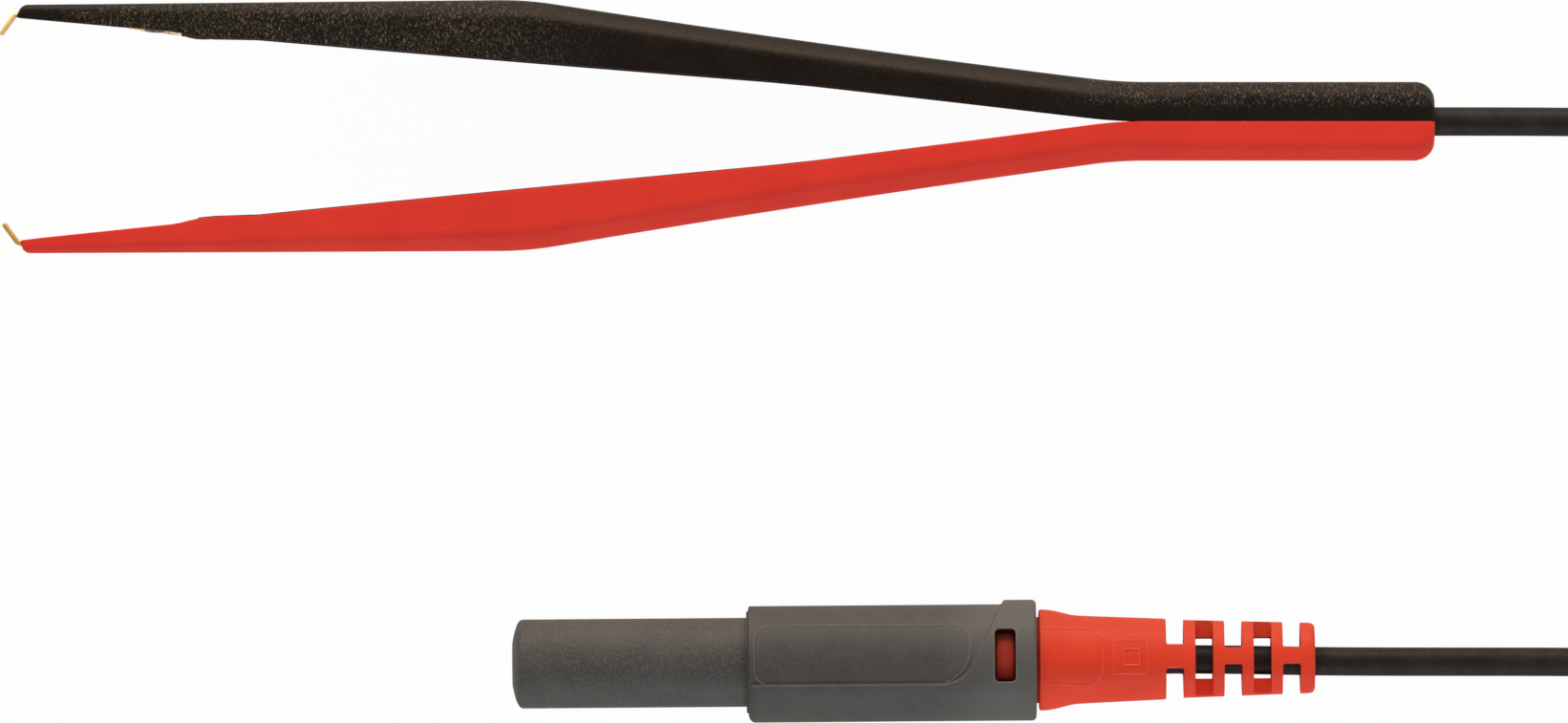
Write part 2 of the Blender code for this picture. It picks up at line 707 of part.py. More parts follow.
def build_spring(axis):
    """Compression spring from the sleeve's seat to the carrier's flange, with closed end turns."""
    front = -SLEEVE_SEAT + REST_GAP + SPRING_WIRE / 2
    rear = CARRIER_SHOULDER - REST_GAP - SPRING_WIRE / 2
    closed = SPRING_WIRE * 1.3
    radius = SPRING_BORE - RUNNING_GAP - SPRING_WIRE / 2
    steps = SPRING_TURNS * 12
    line = []
    for turn in np.linspace(0, SPRING_TURNS, steps + 1):
        along = float(np.interp(turn, [0, 1, SPRING_TURNS - 1, SPRING_TURNS],
                                [front, front + closed, rear - closed, rear]))
        angle = 2 * math.pi * float(turn)
        line.append((along, radius * math.cos(angle), radius * math.sin(angle)))
    rings = []
    for index, point in enumerate(line):
        centre = Vector(point)
        outward = Vector((0, centre.y, centre.z)).normalized()
        ahead = Vector(line[min(index + 1, steps)]) - Vector(line[max(index - 1, 0)])
        across = ahead.normalized().cross(outward)
        spokes = [2 * math.pi * side / 5 for side in range(5)]
        rings.append([centre + SPRING_WIRE / 2 * (math.cos(a) * outward + math.sin(a) * across)
                      for a in spokes])
    lofted("sleeve_spring", rings, steel(), parent=axis)


def build_contact(axis):
    """Plug contact: rounded nose, neck for the lamellas, shank and solder cup."""
    nose = -CONTACT_OUT
    neck_front = nose + NOSE_LENGTH
    neck_rear = neck_front + LAMELLA_LENGTH + 2 * REST_GAP
    outline = [(nose, 0.6), (nose + 0.15, 1.1), (nose + 0.6, CONTACT_RADIUS - 0.35),
               (nose + 1.2, CONTACT_RADIUS - 0.1), (neck_front - 0.3, CONTACT_RADIUS - 0.05),
               (neck_front, CONTACT_RADIUS - 0.25), (neck_front, LAMELLA_NECK),
               (neck_rear, LAMELLA_NECK), (neck_rear, CONTACT_RADIUS - 0.25),
               (neck_rear + 0.3, CONTACT_RADIUS - 0.05), (neck_rear + 1.5, CONTACT_RADIUS),
               (CUP_END, CONTACT_RADIUS), (CUP_END, CUP_BORE), (CUP_END - CUP_DEPTH, CUP_BORE)]
    turned_solid("contact_pin", outline, nickel(), 24, parent=axis)


def build_lamellas(axis):
    """Cage of bowed spring strips between two rings, round the neck of the contact."""
    front = -CONTACT_OUT + NOSE_LENGTH + REST_GAP
    inner = LAMELLA_NECK + WIRE_GAP
    rows, columns = 9, LAMELLA_COUNT * 3
    points = []
    for layer in range(2):
        for row in range(rows):
            share = row / (rows - 1)
            bow = math.sin(math.pi * min(max((share - 0.12) / 0.76, 0), 1))
            radius = inner + LAMELLA_BULGE * bow + LAMELLA_SHEET * layer
            for column in range(columns):
                angle = 2 * math.pi * (column + (0.25 if column % 3 == 2 else 0)) / columns
                points.append((front + LAMELLA_LENGTH * share, radius * math.cos(angle),
                               radius * math.sin(angle)))
    kept = {(row, column) for row in range(rows - 1) for column in range(columns)
            if row in (0, rows - 2) or column % 3 != 2}
    lift = rows * columns

    def corner(row, column):
        return row * columns + column % columns

    faces = []
    for row, column in kept:
        quad = [corner(row, column), corner(row, column + 1), corner(row + 1, column + 1),
                corner(row + 1, column)]
        faces.append(tuple(quad))
        faces.append(tuple(lift + index for index in reversed(quad)))
        edges = [((row - 1, column), quad[0], quad[1]), ((row, (column + 1) % columns), quad[1], quad[2]),
                 ((row + 1, column), quad[2], quad[3]), ((row, (column - 1) % columns), quad[3], quad[0])]
        for neighbour, start, end in edges:
            if neighbour not in kept:
                faces.append((end, start, lift + start, lift + end))
    solid("contact_lamellas", points, faces, gold(), parent=axis)


def build_carrier(axis):
    """Insulating carrier that holds the contact and seats in the grip body."""
    bore = CONTACT_RADIUS + REST_GAP
    tube = bore + CARRIER_WALL
    flange = CAVITY_RADIUS - REST_GAP
    rear = CARRIER_SHOULDER + CARRIER_FLANGE
    outline = [(-CARRIER_OUT, bore), (-CARRIER_OUT, tube - 0.3), (-CARRIER_OUT + 0.3, tube),
               (CARRIER_SHOULDER, tube), (CARRIER_SHOULDER, flange), (rear, flange), (rear, bore)]
    turned("contact_carrier", outline, grey_plastic(), 24, parent=axis)


def build_body(axis):
    """Grip body: a shell with a front lip, a label recess with a swept end, and two windows."""
    lip = LIP_LENGTH - LIP_OUT
    seat = CARRIER_SHOULDER + CARRIER_FLANGE + REST_GAP
    outline = [(-LIP_OUT, LIP_BORE), (-LIP_OUT, LIP_BORE + LIP_EDGE)]
    rim = BODY_RADIUS - SHOULDER
    for step in range(5):
        angle = math.radians(90 * step / 4)
        outline.append((SHOULDER * 0.7 * (1 - math.cos(angle)), rim + SHOULDER * math.sin(angle)))
    outline += [(BODY_LENGTH - BODY_REAR_EDGE, BODY_RADIUS),
                (BODY_LENGTH - BODY_REAR_EDGE * 0.3, BODY_RADIUS - BODY_REAR_EDGE * 0.3),
                (BODY_LENGTH, BODY_RADIUS - BODY_REAR_EDGE), (BODY_LENGTH, REAR_BORE),
                (seat, REAR_BORE), (seat, CAVITY_RADIUS), (lip, CAVITY_RADIUS), (lip, LIP_BORE)]
    made = turned("grip_body", outline, grey_plastic(), parent=axis)
    combine(made, build_recess_cutter(axis), "DIFFERENCE")
    combine(made, build_window_cutter(axis), "DIFFERENCE")


def build_recess_cutter(axis):
    """What the label recess takes off the body: a drawn-out outline, hollow inside the recess."""
    reach = BODY_RADIUS + 1
    slope = math.tan(math.radians(RECESS_SLANT))
    corner = (RECESS_END, -RECESS_STEP)
    far = (RECESS_END + slope * (reach + RECESS_STEP), reach)
    front = (-LIP_OUT - 1, -RECESS_STEP)
    outline = [front] + fillet(corner, front, far, RECESS_CORNER, 8) + [far, (-LIP_OUT - 1, reach)]
    block = extruded("recess_block_cutter", outline, -reach, reach, parent=axis)
    core = turned_solid("recess_core_cutter", [(-LIP_OUT - 2, BODY_RADIUS - RECESS_DEPTH),
                                               (far[0] + 1, BODY_RADIUS - RECESS_DEPTH)],
                        None, parent=axis)
    combine(block, core, "DIFFERENCE")
    return block


def build_window_cutter(axis):
    rear = WINDOW_FRONT + WINDOW_LENGTH
    half = WINDOW_HEIGHT / 2
    corners = [(WINDOW_FRONT, -half), (rear, -half), (rear, half), (WINDOW_FRONT, half)]
    outline = []
    for index, corner in enumerate(corners):
        outline += fillet(corner, corners[index - 1], corners[(index + 1) % 4], WINDOW_CORNER, 2)
    reach = BODY_RADIUS + 1
    return extruded("window_cutter", outline, -reach, reach, parent=axis)


def slot_places():
    """Start of each slot of the strain relief, with the width of its bridges."""
    places = []
    start = GRIP_END
    for index in range(SLOT_COUNT):
        places.append((index, start, FIRST_BRIDGE if index == 0 else BRIDGE))
        start += SLOT_WIDTH + RING_WIDTH
    return places


def build_insert(axis):
    """Red insert: spigot with two snap lugs, finger grip and ladder strain relief, all hollow."""
    shoulder = BODY_LENGTH + REST_GAP
    relief_end = GRIP_END + SLOT_COUNT * SLOT_WIDTH + (SLOT_COUNT - 1) * RING_WIDTH + END_RING_WIDTH
    flare = (shoulder + WAIST_AT) / 2
    outline = [(INSERT_FRONT, RELIEF_BORE), (INSERT_FRONT, SPIGOT_RADIUS - 0.3),
               (INSERT_FRONT + 0.3, SPIGOT_RADIUS), (shoulder, SPIGOT_RADIUS),
               (shoulder, GRIP_RADIUS - 0.2), (shoulder + 0.2, GRIP_RADIUS),
               (shoulder + 1.2, GRIP_RADIUS - 0.03), (flare, (GRIP_RADIUS + WAIST_RADIUS) / 2 + 0.06),
               (WAIST_AT - 1.2, WAIST_RADIUS + 0.08), (WAIST_AT, WAIST_RADIUS),
               (GRIP_END - 0.2, GRIP_END_RADIUS), (GRIP_END, RELIEF_START_RADIUS),
               (relief_end - 0.6, RELIEF_END_RADIUS), (relief_end, RELIEF_END_RADIUS - 0.5),
               (relief_end, RELIEF_BORE + 0.2), (relief_end - 0.2, RELIEF_BORE)]
    made = turned("insert", outline, plug_red(), parent=axis)
    for index, start, bridge in slot_places():
        for sign in (1, -1):
            name = f"slot_cutter_{index}_{'near' if sign > 0 else 'far'}"
            cutter = build_slot_cutter(name, index, start, bridge, sign, axis)
            combine(made, cutter, "DIFFERENCE")
    combine(made, build_lugs(axis), "UNION")


def build_slot_cutter(name, index, start, bridge, sign, axis):
    """Half of one slot. Even slots leave bridges front and back, odd ones at the sides."""
    reach = GRIP_RADIUS + 1
    edges = sorted((sign * bridge / 2, sign * reach))
    if index % 2 == 0:
        low, high = (edges[0], -reach), (edges[1], reach)
    else:
        low, high = (-reach, edges[0]), (reach, edges[1])
    return box(name, (start, *low), (start + SLOT_WIDTH, *high), parent=axis)


def build_lugs(axis):
    """The two lugs that snap into the body's windows."""
    inset = REST_GAP
    front, rear = WINDOW_FRONT + inset, WINDOW_FRONT + WINDOW_LENGTH - inset
    top = BODY_RADIUS - LUG_SINK
    half = WINDOW_HEIGHT / 2 - inset
    ring = turned("lug_ring_cutter", [(front, SPIGOT_RADIUS - 1), (rear, SPIGOT_RADIUS - 1),
                                      (rear, top), (front, top - 0.2)], None, parent=axis)
    keep = box("lug_keep_cutter", (front - 1, -half, -top - 1), (rear + 1, half, top + 1), parent=axis)
    combine(ring, keep, "INTERSECT")
    return ring


def build_conductor(axis):
    """Bare end of the cable's core, in the contact's solder cup."""
    radius = CONDUCTOR_DIAMETER / 2
    front = CUP_END - CUP_DEPTH + REST_GAP
    outline = [(front, radius * 0.6), (front + 0.3, radius), (CABLE_STOP - REST_GAP, radius)]
    turned_solid("conductor", outline, copper(), 8, parent=axis)


def build_plug():
    axis = empty("plug_axis", (*PLUG_AT, BODY_RADIUS),
                 (-math.radians(PLUG_ROLL), 0, math.radians(PLUG_TURN)))
    build_body(axis)
    build_sleeve(axis)
    build_spring(axis)
    build_contact(axis)
    build_lamellas(axis)
    build_carrier(axis)
    build_insert(axis)
    build_conductor(axis)


def plug_place(along):
    """World place of a point on the plug's axis."""
    turn = math.radians(PLUG_TURN)
    return (PLUG_AT[0] + along * math.cos(turn), PLUG_AT[1] + along * math.sin(turn), BODY_RADIUS)


def route_points(offsets, origin, height):
    """World points of a stretch of the route, which comes down to the table from a height."""
    lying = CABLE_DIAMETER / 2 + CABLE_LIFT
    return [(origin[0] + x, origin[1] + y, height + (lying - height) * drop) for x, y, drop in offsets]


def build_cable():
    end = plug_place(CABLE_STOP)
    cable_run("cable_to_coil", route_points(ROUTE_FROM_HANDLE, (REAR_X, SEAM_Y), MID_Z))
    cable_run("cable_to_plug", route_points(ROUTE_FROM_COIL, COIL_CENTRE, MID_Z)
              + route_points(ROUTE_FROM_PLUG, end, BODY_RADIUS) + [end])
    build_coil()


clear_scene()
build_tweezers()
build_cable()
build_plug()
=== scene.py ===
"""Looks of the tweezers test lead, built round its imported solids.

The mouldings of the tweezers, the contact wires and their joints, the plug's outer pieces, its
spring and the cable are modelled again here with fine edges, and everything gets a procedural
material. Sizes are in millimetres up to the moment a mesh is made, in the same frame as the
solids. Places on an arm count from its root, and places on the plug from its grip body's front.
"""
import math

import bmesh
import bpy
import numpy as np
from mathutils import Euler, Matrix, Vector


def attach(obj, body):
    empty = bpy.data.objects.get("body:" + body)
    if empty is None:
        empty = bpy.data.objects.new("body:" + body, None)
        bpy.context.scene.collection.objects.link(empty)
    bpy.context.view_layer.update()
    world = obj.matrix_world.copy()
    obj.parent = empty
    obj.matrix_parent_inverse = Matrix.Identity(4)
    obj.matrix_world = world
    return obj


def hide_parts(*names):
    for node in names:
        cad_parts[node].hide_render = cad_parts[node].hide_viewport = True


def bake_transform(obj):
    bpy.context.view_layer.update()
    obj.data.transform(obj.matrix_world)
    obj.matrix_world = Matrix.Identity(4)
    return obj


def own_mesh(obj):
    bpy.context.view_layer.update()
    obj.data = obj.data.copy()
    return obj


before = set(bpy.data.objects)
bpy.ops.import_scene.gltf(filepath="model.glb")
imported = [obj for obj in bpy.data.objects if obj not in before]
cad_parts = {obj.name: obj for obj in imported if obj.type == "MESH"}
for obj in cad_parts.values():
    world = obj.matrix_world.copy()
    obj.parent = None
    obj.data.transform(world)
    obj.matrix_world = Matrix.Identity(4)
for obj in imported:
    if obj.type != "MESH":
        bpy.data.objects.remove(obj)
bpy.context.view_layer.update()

MM = 0.001

# Handle block and arms: the solids' sizes, with slimmer bands and a shorter red nose
REST_GAP = 0.3
WIRE_GAP = 0.1
SHELL_LENGTH = 36.25
SHELL_THICKNESS = 4.5
HANDLE_WIDTH = 11.0
REAR_CORNER = 2.2
SHELL_BAND = 1.5
ARM_LENGTH = 126.7
KNEE_AT = 68.0
KNEE_REACH = 14.42
NOSE_REACH = 14.3
NOSE_THICKNESS = 1.5
NOSE_WIDTH = 2.6
NOSE_SLANT = {"black": 0.66, "red": 0.45}
NOSE_BACK = {"black": 0.0, "red": 0.3}    # the red nose ends a little short
OUTER_SAG = 0.3
INNER_KNEE_AT = 37.4
INNER_KNEE_REACH = 4.65
INNER_SAG = 0.15
KNEE_ROUNDING = 3.0
ARM_BAND = 1.9
NOSE_BAND = 0.5
OPEN_TURN = {"black": -0.4, "red": 0.4}    # degrees, begun over OPEN_FADE
OPEN_FADE = (-2, 4)
BUMP_FRONT = 108.9
BUMP_RISE = 3.3
BUMP_LENGTH = 9.9
BUMP_FALL = 5.0
BUMP_HEIGHT = 0.35
CHANNEL_WIDTH = 2.0
CHANNEL_DEPTH = 1.35
PIN_GROOVE_WIDTH = 1.15
PIN_GROOVE_DEPTH = 0.98
PIN_DIAMETER = 0.6
PIN_DEPTH = 0.38
PIN_BEND = 54.0         # degrees
PIN_BEND_RADIUS = 1.5 * PIN_DIAMETER
PIN_DOME = (1.45, 1.2, 0.9, 0.6, 0.3)    # radians, round the tip of the wire
PIN_OUT = 2.45
PIN_ROOT = 111.9
SPLICE_DEPTH = 0.05
WIRE_DIAMETER = 0.8
WIRE_DEPTH = 0.85
WIRE_ROOT = 0.5
WIRE_FRONT = 107.7
JOINT_SINK = {"black": 0.0, "red": 0.45}    # the red arm hides its joint

# Joint of wire and contact, and the wire's end, as (along the arm, depth in it, radius)
SPLICE_RINGS = [
    (112.3, 0.12, 0.18), (112.2, 0.12, 0.27), (111.6, 0.05, 0.33), (110.8, 0.05, 0.35),
    (110.2, 0.08, 0.33), (109.6, 0.10, 0.33), (109.2, 0.07, 0.40), (108.7, 0.08, 0.43),
    (108.2, 0.10, 0.38), (107.8, 0.10, 0.34), (107.3, 0.10, 0.34), (107.2, 0.10, 0.2),
]
WIRE_END_RINGS = [
    (107.9, 0.12, 0.20), (107.8, 0.12, 0.33), (107.3, 0.12, 0.37), (106.8, 0.12, 0.40),
    (106.0, 0.14, 0.42), (105.2, 0.18, 0.42), (104.6, 0.22, 0.40), (104.2, 0.26, 0.30),
]

# Where the arms hang on the handle, and which way each one opens
FLEX_X = 46.23515
SEAM_Y = 0.63456
MID_Z = HANDLE_WIDTH / 2
REAR_X = FLEX_X + SHELL_LENGTH
SIDES = {"black": 1, "red": -1}

# Looks that the plain solids leave out
SEAM_GAP = 0.02         # the shells meet
EDGE_ROUND = 0.45       # cut back from a moulding's long edges
SHOULDER_ROUND = 0.8    # where the bevelled band meets its neighbours
CROWN_ROUND = 0.8       # at the corner within the band
CROWN_SHARE = 0.44      # of the band, where that corner lies
BAND_FADE = 9.0         # length behind the arm's root over which the band narrows
LIP_ROUND = 0.14
NOSE_ROUND = 0.6
REAR_ROUND = 0.55
NOSE_SLANT_REACH = (3.0, 1.0)    # from the nose, where its slant begins and is full
NOSE_STEPS = (0.02, 0.07, 0.15, 0.27, 0.42, 0.6, 0.9, 1.2, 1.7, 2.3, 3.0)

# Cable bore and the pocket of the crimped ring
CABLE_DIAMETER = 3.3
CABLE_BORE = 1.95
FERRULE_POCKET = 2.65
POCKET_FRONT = REAR_X - 18.9
POCKET_REAR = REAR_X - 12.7

# Plug: the solids' sizes, with its roll, recess and windows matched more closely
PLUG_AT = (3.65, -61.6)
PLUG_TURN = 0.45
PLUG_ROLL = 6.4
BODY_RADIUS = 6.95
BODY_LENGTH = 33.1
LIP_OUT = 0.2
LIP_BORE = 5.32
LIP_EDGE = 0.55
LIP_END = 1.5
CAVITY_RADIUS = 5.72
REAR_BORE = 5.25
CAVITY_END = 27.2
SHOULDER = 1.1
BODY_REAR_EDGE = 0.5
RECESS_DEPTH = 0.5
RECESS_STEP = 3.42
RECESS_END = 24.85
RECESS_SLANT = 23.3
RECESS_CORNER = 4.2
RECESS_EDGE = 0.13      # half the width over which the surface steps down
WINDOW_FRONT = 28.3
WINDOW_LENGTH = 2.4
WINDOW_HEIGHT = 6.1
WINDOW_CORNER = 0.5
SLEEVE_RADIUS = 5.12
SLEEVE_OUT = 27.1
SLEEVE_BORE = 3.95
SLEEVE_MOUTH = 2.3
SLEEVE_NOSE = 1.4
SLEEVE_FRONT = 2.0
SLEEVE_SEAT = 8.0
SLEEVE_REAR = 2.8
SPRING_BORE = 4.47
SPRING_WIRE = 0.5
SPRING_TURNS = 9
SPRING_GAP = 0.2
SPRING_CLOSED = 1.3     # wires that a closed end turn takes up
SPRING_FRONT = -7.45
SPRING_REAR = 23.65
FOOT_FRONT = 1.8
FOOT_RADIUS = 5.52
FOOT_EDGE = 0.3
INSERT_FRONT = 27.5
INSERT_SHOULDER = BODY_LENGTH + REST_GAP
SPIGOT_RADIUS = 4.95
GRIP_RADIUS = 5.82
WAIST_RADIUS = 5.05
WAIST_AT = 38.4
GRIP_END_RADIUS = 4.65
GRIP_END = 48.0
RELIEF_START_RADIUS = 4.55
RELIEF_END_RADIUS = 4.05
RELIEF_BORE = 2.55
RING_WIDTH = 1.3
SLOT_WIDTH = 2.05
END_RING_WIDTH = 1.65
SLOT_COUNT = 5
FIRST_BRIDGE = 2.6
BRIDGE = 1.8
SLOT_CORNER = 0.28
LUG_TOP = 5.75
LUG_ROOT = 0.6          # how far a lug reaches into the spigot
LUG_GAP = 0.12          # in front of and behind a lug, in its window
LUG_ROUND = 0.25
LUG_EDGE = ((0.0, LUG_ROUND), (0.08, 0.08), (0.28, 0.0))    # (inward, down) from its upper edge
CABLE_STOP = 34.3

# Fine lines moulded on the plug: their section, then the (along, across) places and rise of each
LINE_WIDTH = 0.14
LINE_SECTION = ((-0.5, -0.05), (-0.32, 0.7), (0.0, 1.0), (0.32, 0.7), (0.5, -0.05))
LABEL_LOW, LABEL_HIGH = (0.65, -3.2), (25.45, 3.62)
LABEL_CORNERS = (1.7, 3.9, 1.7, 1.7)
LABEL_RISE = 0.08
RIM_MARGIN = 0.1        # round the window
RIM_CORNER = 0.55
RIM_RISE = 0.05
GRIP_PANEL = [(33.62, -3.28), (39.5, -3.28), (40.7, -2.08), (40.7, 2.0), (39.5, 3.2), (33.62, 3.2)]
# Size, along and across of each
SQUARES = {"outer_square": (3.85, 43.88, -0.18), "inner_square": (1.8, 44.02, -0.18)}
SQUARE_CORNER = 0.08
GRIP_RISE = 0.09

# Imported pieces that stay, with the names of their finishes
KEPT_PIECES = {
    "black_wire_cover": "cover", "red_wire_cover": "cover", "black_wire_tail": "black_core",
    "red_wire_tail": "red_core", "black_arm_wire": "black_core", "cable_ferrule": "tin",
    "contact_pin": "nickel", "contact_lamellas": "black_gold", "contact_carrier": "carrier",
    "conductor": "copper",
}
KEPT_IN_PLUG = ("contact_pin", "contact_lamellas", "contact_carrier", "conductor")

# Cable: the solids' own route, counted as there from the handle's rear face, the coil's
# centre and the cable's end in the plug, and the coil's turns as (degrees, radius, height)
COIL_CENTRE = (REAR_X + 46.5, SEAM_Y - 36.03)
ROUTE_FROM_HANDLE = [
    (-18.0, -0.02, 0), (-9.5, -0.02, 0), (-0.1, -0.02, 0), (6.0, -0.02, 0.05), (12.5, -0.03, 0.34),
    (19.0, -0.08, 0.72), (25.5, -0.23, 0.95), (33.0, -0.73, 1), (41.5, -2.03, 1),
    (50.5, -5.03, 1), (58.5, -9.93, 1), (64.8, -16.23, 1),
]
ROUTE_FROM_COIL = [(-3.0, -26.45, 1), (-11.0, -26.45, 1)]
ROUTE_FROM_PLUG = [
    (71.4, -0.37, 0.99), (63.4, -0.32, 0.92), (56.4, -0.27, 0.79), (49.9, -0.25, 0.60),
    (43.4, -0.23, 0.38), (37.4, -0.20, 0.21), (30.9, -0.15, 0.10), (22.7, 0.01, 0.03),
    (13.7, 0.08, 0.005), (6.4, 0.05, 0),
]
CABLE_LIFT = 0.05
COIL_KNOTS = [
    (38, 25.9, 1.66), (28, 24.8, 1.66), (14, 23.6, 1.66), (0, 23.1, 1.66), (-360, 19.8, 1.66),
    (-720, 16.5, 1.66), (-1080, 13.2, 1.66), (-1130, 13.0, 2.3), (-1180, 13.0, 4.0),
    (-1225, 13.1, 4.5), (-1440, 14.85, 4.51), (-1800, 18.15, 4.51), (-2160, 21.45, 4.51),
    (-2190, 23.2, 4.3), (-2222, 25.4, 2.6), (-2250, 26.4, 1.72),
]
ROUTE_STEP = 4.5
TURN_STEP = 10          # degrees between the points of a turn

# Camera: straight down, from far enough to show no inner walls, as in the photograph
VIEW_CENTRE = (7.766, -27.0)
VIEW_WIDTH = 180.33
VIEW_PLANE = 6.2
VIEW_DISTANCE = 2400.0
SENSOR = 36.0

# Where a look fades in, as two places along an axis of the frame
ARM_GRAIN_REAR = (-10.0, -34.0)    # the black arm's coarse grain
ARM_GRAIN_NOSE = (-78.5, -70.0)
HANDLE_GRAIN = (38.0, 50.0)        # the handle's, on a strip along its outer edge
HANDLE_GRAIN_STRIP = (1.9, 3.0)
GRIP_PALER = (24.0, 34.0)
# LAMP_FLANK: where painted shade darkens the plug's red, on the flank that faces the lamp
LAMP_FLANK = (-62.0, -56.0)        # the flank of the plug that faces the lamp
BARE_JOINT = (-63.7, -63.0)

# Room light on the walls and overhead, and how steep a ray is where one gives way to the other
WALL_LIGHT = 0.56
CEILING_LIGHT = 0.27
CEILING_EDGE = (0.35, 0.95)

# Lamps, as (name, place in metres, size in metres, watts, colour), and the floor
LAMPS = (
    ("key", (-0.02, 0.75, 0.26), (1.5, 0.42), 8.9, (1.0, 0.88, 0.75)),
    ("fill", (0.1, -0.72, 0.30), (0.9, 0.4), 2.2, (0.97, 0.98, 1.0)),
)
FLOOR_REACH = 3.0       # metres
FLOOR_DROP = 0.05
FLOOR_WHITENESS = 0.97


# Helpers

def eased(low, high, value):
    """Smooth step from 0 at low to 1 at high."""
    share = np.clip((value - low) / (high - low), 0.0, 1.0)
    return share * share * (3 - 2 * share)


def placed(name, data):
    """An object in the scene that holds the given data."""
    made = bpy.data.objects.new(name, data)
    bpy.context.collection.objects.link(made)
    return made


def solid(name, points, faces, finish, sharp=40):
    """A mesh object from points in millimetres, its faces turned outward and shaded smooth."""
    mesh = bpy.data.meshes.new(name)
    mesh.from_pydata((np.asarray(points, float) * MM).tolist(), [], faces)
    work = bmesh.new()
    work.from_mesh(mesh)
    bmesh.ops.recalc_face_normals(work, faces=work.faces)
    work.to_mesh(mesh)
    work.free()
    mesh.shade_smooth()
    mesh.set_sharp_from_angle(angle=math.radians(sharp))
    mesh.materials.append(finish)
    return placed(name, mesh)


def grid_faces(rows, columns, closed_rows=False):
    """Quads between rows of points that are rings. The rows may close into a ring too."""
    faces = []
    for row in range(rows if closed_rows else rows - 1):
        below = (row + 1) % rows
        for column in range(columns):
            right = (column + 1) % columns
            faces.append((row * columns + column, row * columns + right,
                          below * columns + right, below * columns + column))
    return faces


def lofted(name, rings, finish, sharp=40):
    """A skin over equal rings of points, closed at both ends."""
    rows, columns = len(rings), len(rings[0])
    ends = [tuple(range(columns)), tuple(range((rows - 1) * columns, rows * columns))]
    return solid(name, np.concatenate(rings), grid_faces(rows, columns) + ends, finish, sharp)


def circle(sides):
    """Angles evenly round a circle."""
    return np.linspace(0, 2 * math.pi, sides, endpoint=False)


def turned(name, outline, finish, sides):
    """A ring turned about the X axis from a closed outline of (along, radius) pairs."""
    points = [(x, r * math.cos(a), r * math.sin(a)) for a in circle(sides) for x, r in outline]
    return solid(name, points, grid_faces(sides, len(outline), closed_rows=True), finish)


def swept(name, line, radii, finish, sides):
    """A round rod along a line of points, with its own radius at each."""
    path = [Vector(point) for point in line]
    rings = []
    for index, centre in enumerate(path):
        ahead = path[min(index + 1, len(path) - 1)] - path[max(index - 1, 0)]
        ahead.normalize()
        across = ahead.cross(Vector((0, 0, 1))).normalized()
        up = across.cross(ahead)
        rings.append([centre + radii[index] * (math.cos(a) * across + math.sin(a) * up)
                      for a in circle(sides)])
    return lofted(name, rings, finish)


def curved_corners(corners, cuts, steps):
    """A closed outline whose corners become short curves, each cut back by its own distance."""
    corners = np.array(corners)
    to_last, to_next = np.roll(corners, 1, axis=0) - corners, np.roll(corners, -1, axis=0) - corners
    points = []
    for corner, before, after, cut, pieces in zip(corners, to_last, to_next, cuts, steps):
        start, end = (corner + run / np.linalg.norm(run) * min(cut, 0.45 * np.linalg.norm(run))
                      for run in (before, after))
        for share in np.linspace(0, 1, pieces + 1):
            points.append((1 - share) ** 2 * start + 2 * share * (1 - share) * corner + share ** 2 * end)
    return points


def apply_all(piece):
    """Fixes a piece's modifiers into its mesh."""
    bpy.context.view_layer.update()
    graph = bpy.context.evaluated_depsgraph_get()
    mesh = bpy.data.meshes.new_from_object(piece.evaluated_get(graph))
    piece.modifiers.clear()
    old, piece.data = piece.data, mesh
    bpy.data.meshes.remove(old)


def carve(piece, tools):
    """Takes the tools out of the piece and removes them."""
    for tool in tools:
        step = piece.modifiers.new(tool.name, "BOOLEAN")
        step.operation = "DIFFERENCE"
        step.object = tool
    apply_all(piece)
    for tool in tools:
        bpy.data.objects.remove(tool, do_unlink=True)


def soften(piece, width=None, angle=40):
    """Rounds a piece's hard edges and evens its shading."""
    if width:
        step = piece.modifiers.new("edges", "BEVEL")
        step.width = width * MM
        step.segments = 2
        step.limit_method = "ANGLE"
        step.angle_limit = math.radians(angle)
    step = piece.modifiers.new("normals", "WEIGHTED_NORMAL")
    step.keep_sharp = True
    apply_all(piece)


def settle(piece, body, slot, *nodes):
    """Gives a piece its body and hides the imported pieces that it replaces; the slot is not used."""
    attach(piece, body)
    if nodes:
        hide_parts(*nodes)
    return piece


def outline_distance(points, outline):
    """Distance from points to a closed outline, positive inside. Both hold (x, y) pairs."""
    starts = np.array(outline)
    ends = np.roll(starts, -1, axis=0)
    nearest = np.full(len(points), np.inf)
    inside = np.zeros(len(points), bool)
    for start, end in zip(starts, ends):
        run = end - start
        share = np.clip((points - start) @ run / (run @ run), 0, 1)
        away = points - start - share[:, None] * run
        nearest = np.minimum(nearest, np.hypot(away[:, 0], away[:, 1]))
        crosses = (start[1] > points[:, 1]) != (end[1] > points[:, 1])
        rise = run[1] if run[1] else 1.0
        inside ^= crosses & (points[:, 0] < run[0] * (points[:, 1] - start[1]) / rise + start[0])
    return np.where(inside, nearest, -nearest)


def fillet(corner, before, after, radius, steps):
    """Points of an arc of the given radius in a corner between two straight runs."""
    corner, before, after = Vector(corner), Vector(before), Vector(after)
    into, away = (before - corner).normalized(), (after - corner).normalized()
    half = into.angle(away) / 2
    centre = corner + (into + away).normalized() * radius / math.sin(half)
    start, end = corner + into * radius / math.tan(half), corner + away * radius / math.tan(half)
    return [tuple(centre + (start - centre).lerp(end - centre, step / steps).normalized() * radius)
            for step in range(steps + 1)]


def rounded_box_outline(low, high, radii, steps=4):
    """A rectangle between two opposite corners, with one radius or a radius for each corner."""
    corners = [(low[0], low[1]), (high[0], low[1]), (high[0], high[1]), (low[0], high[1])]
    outline = []
    for index, radius in enumerate(np.broadcast_to(radii, 4)):
        outline += fillet(corners[index], corners[index - 1], corners[(index + 1) % 4], radius, steps)
    return outline


# Materials

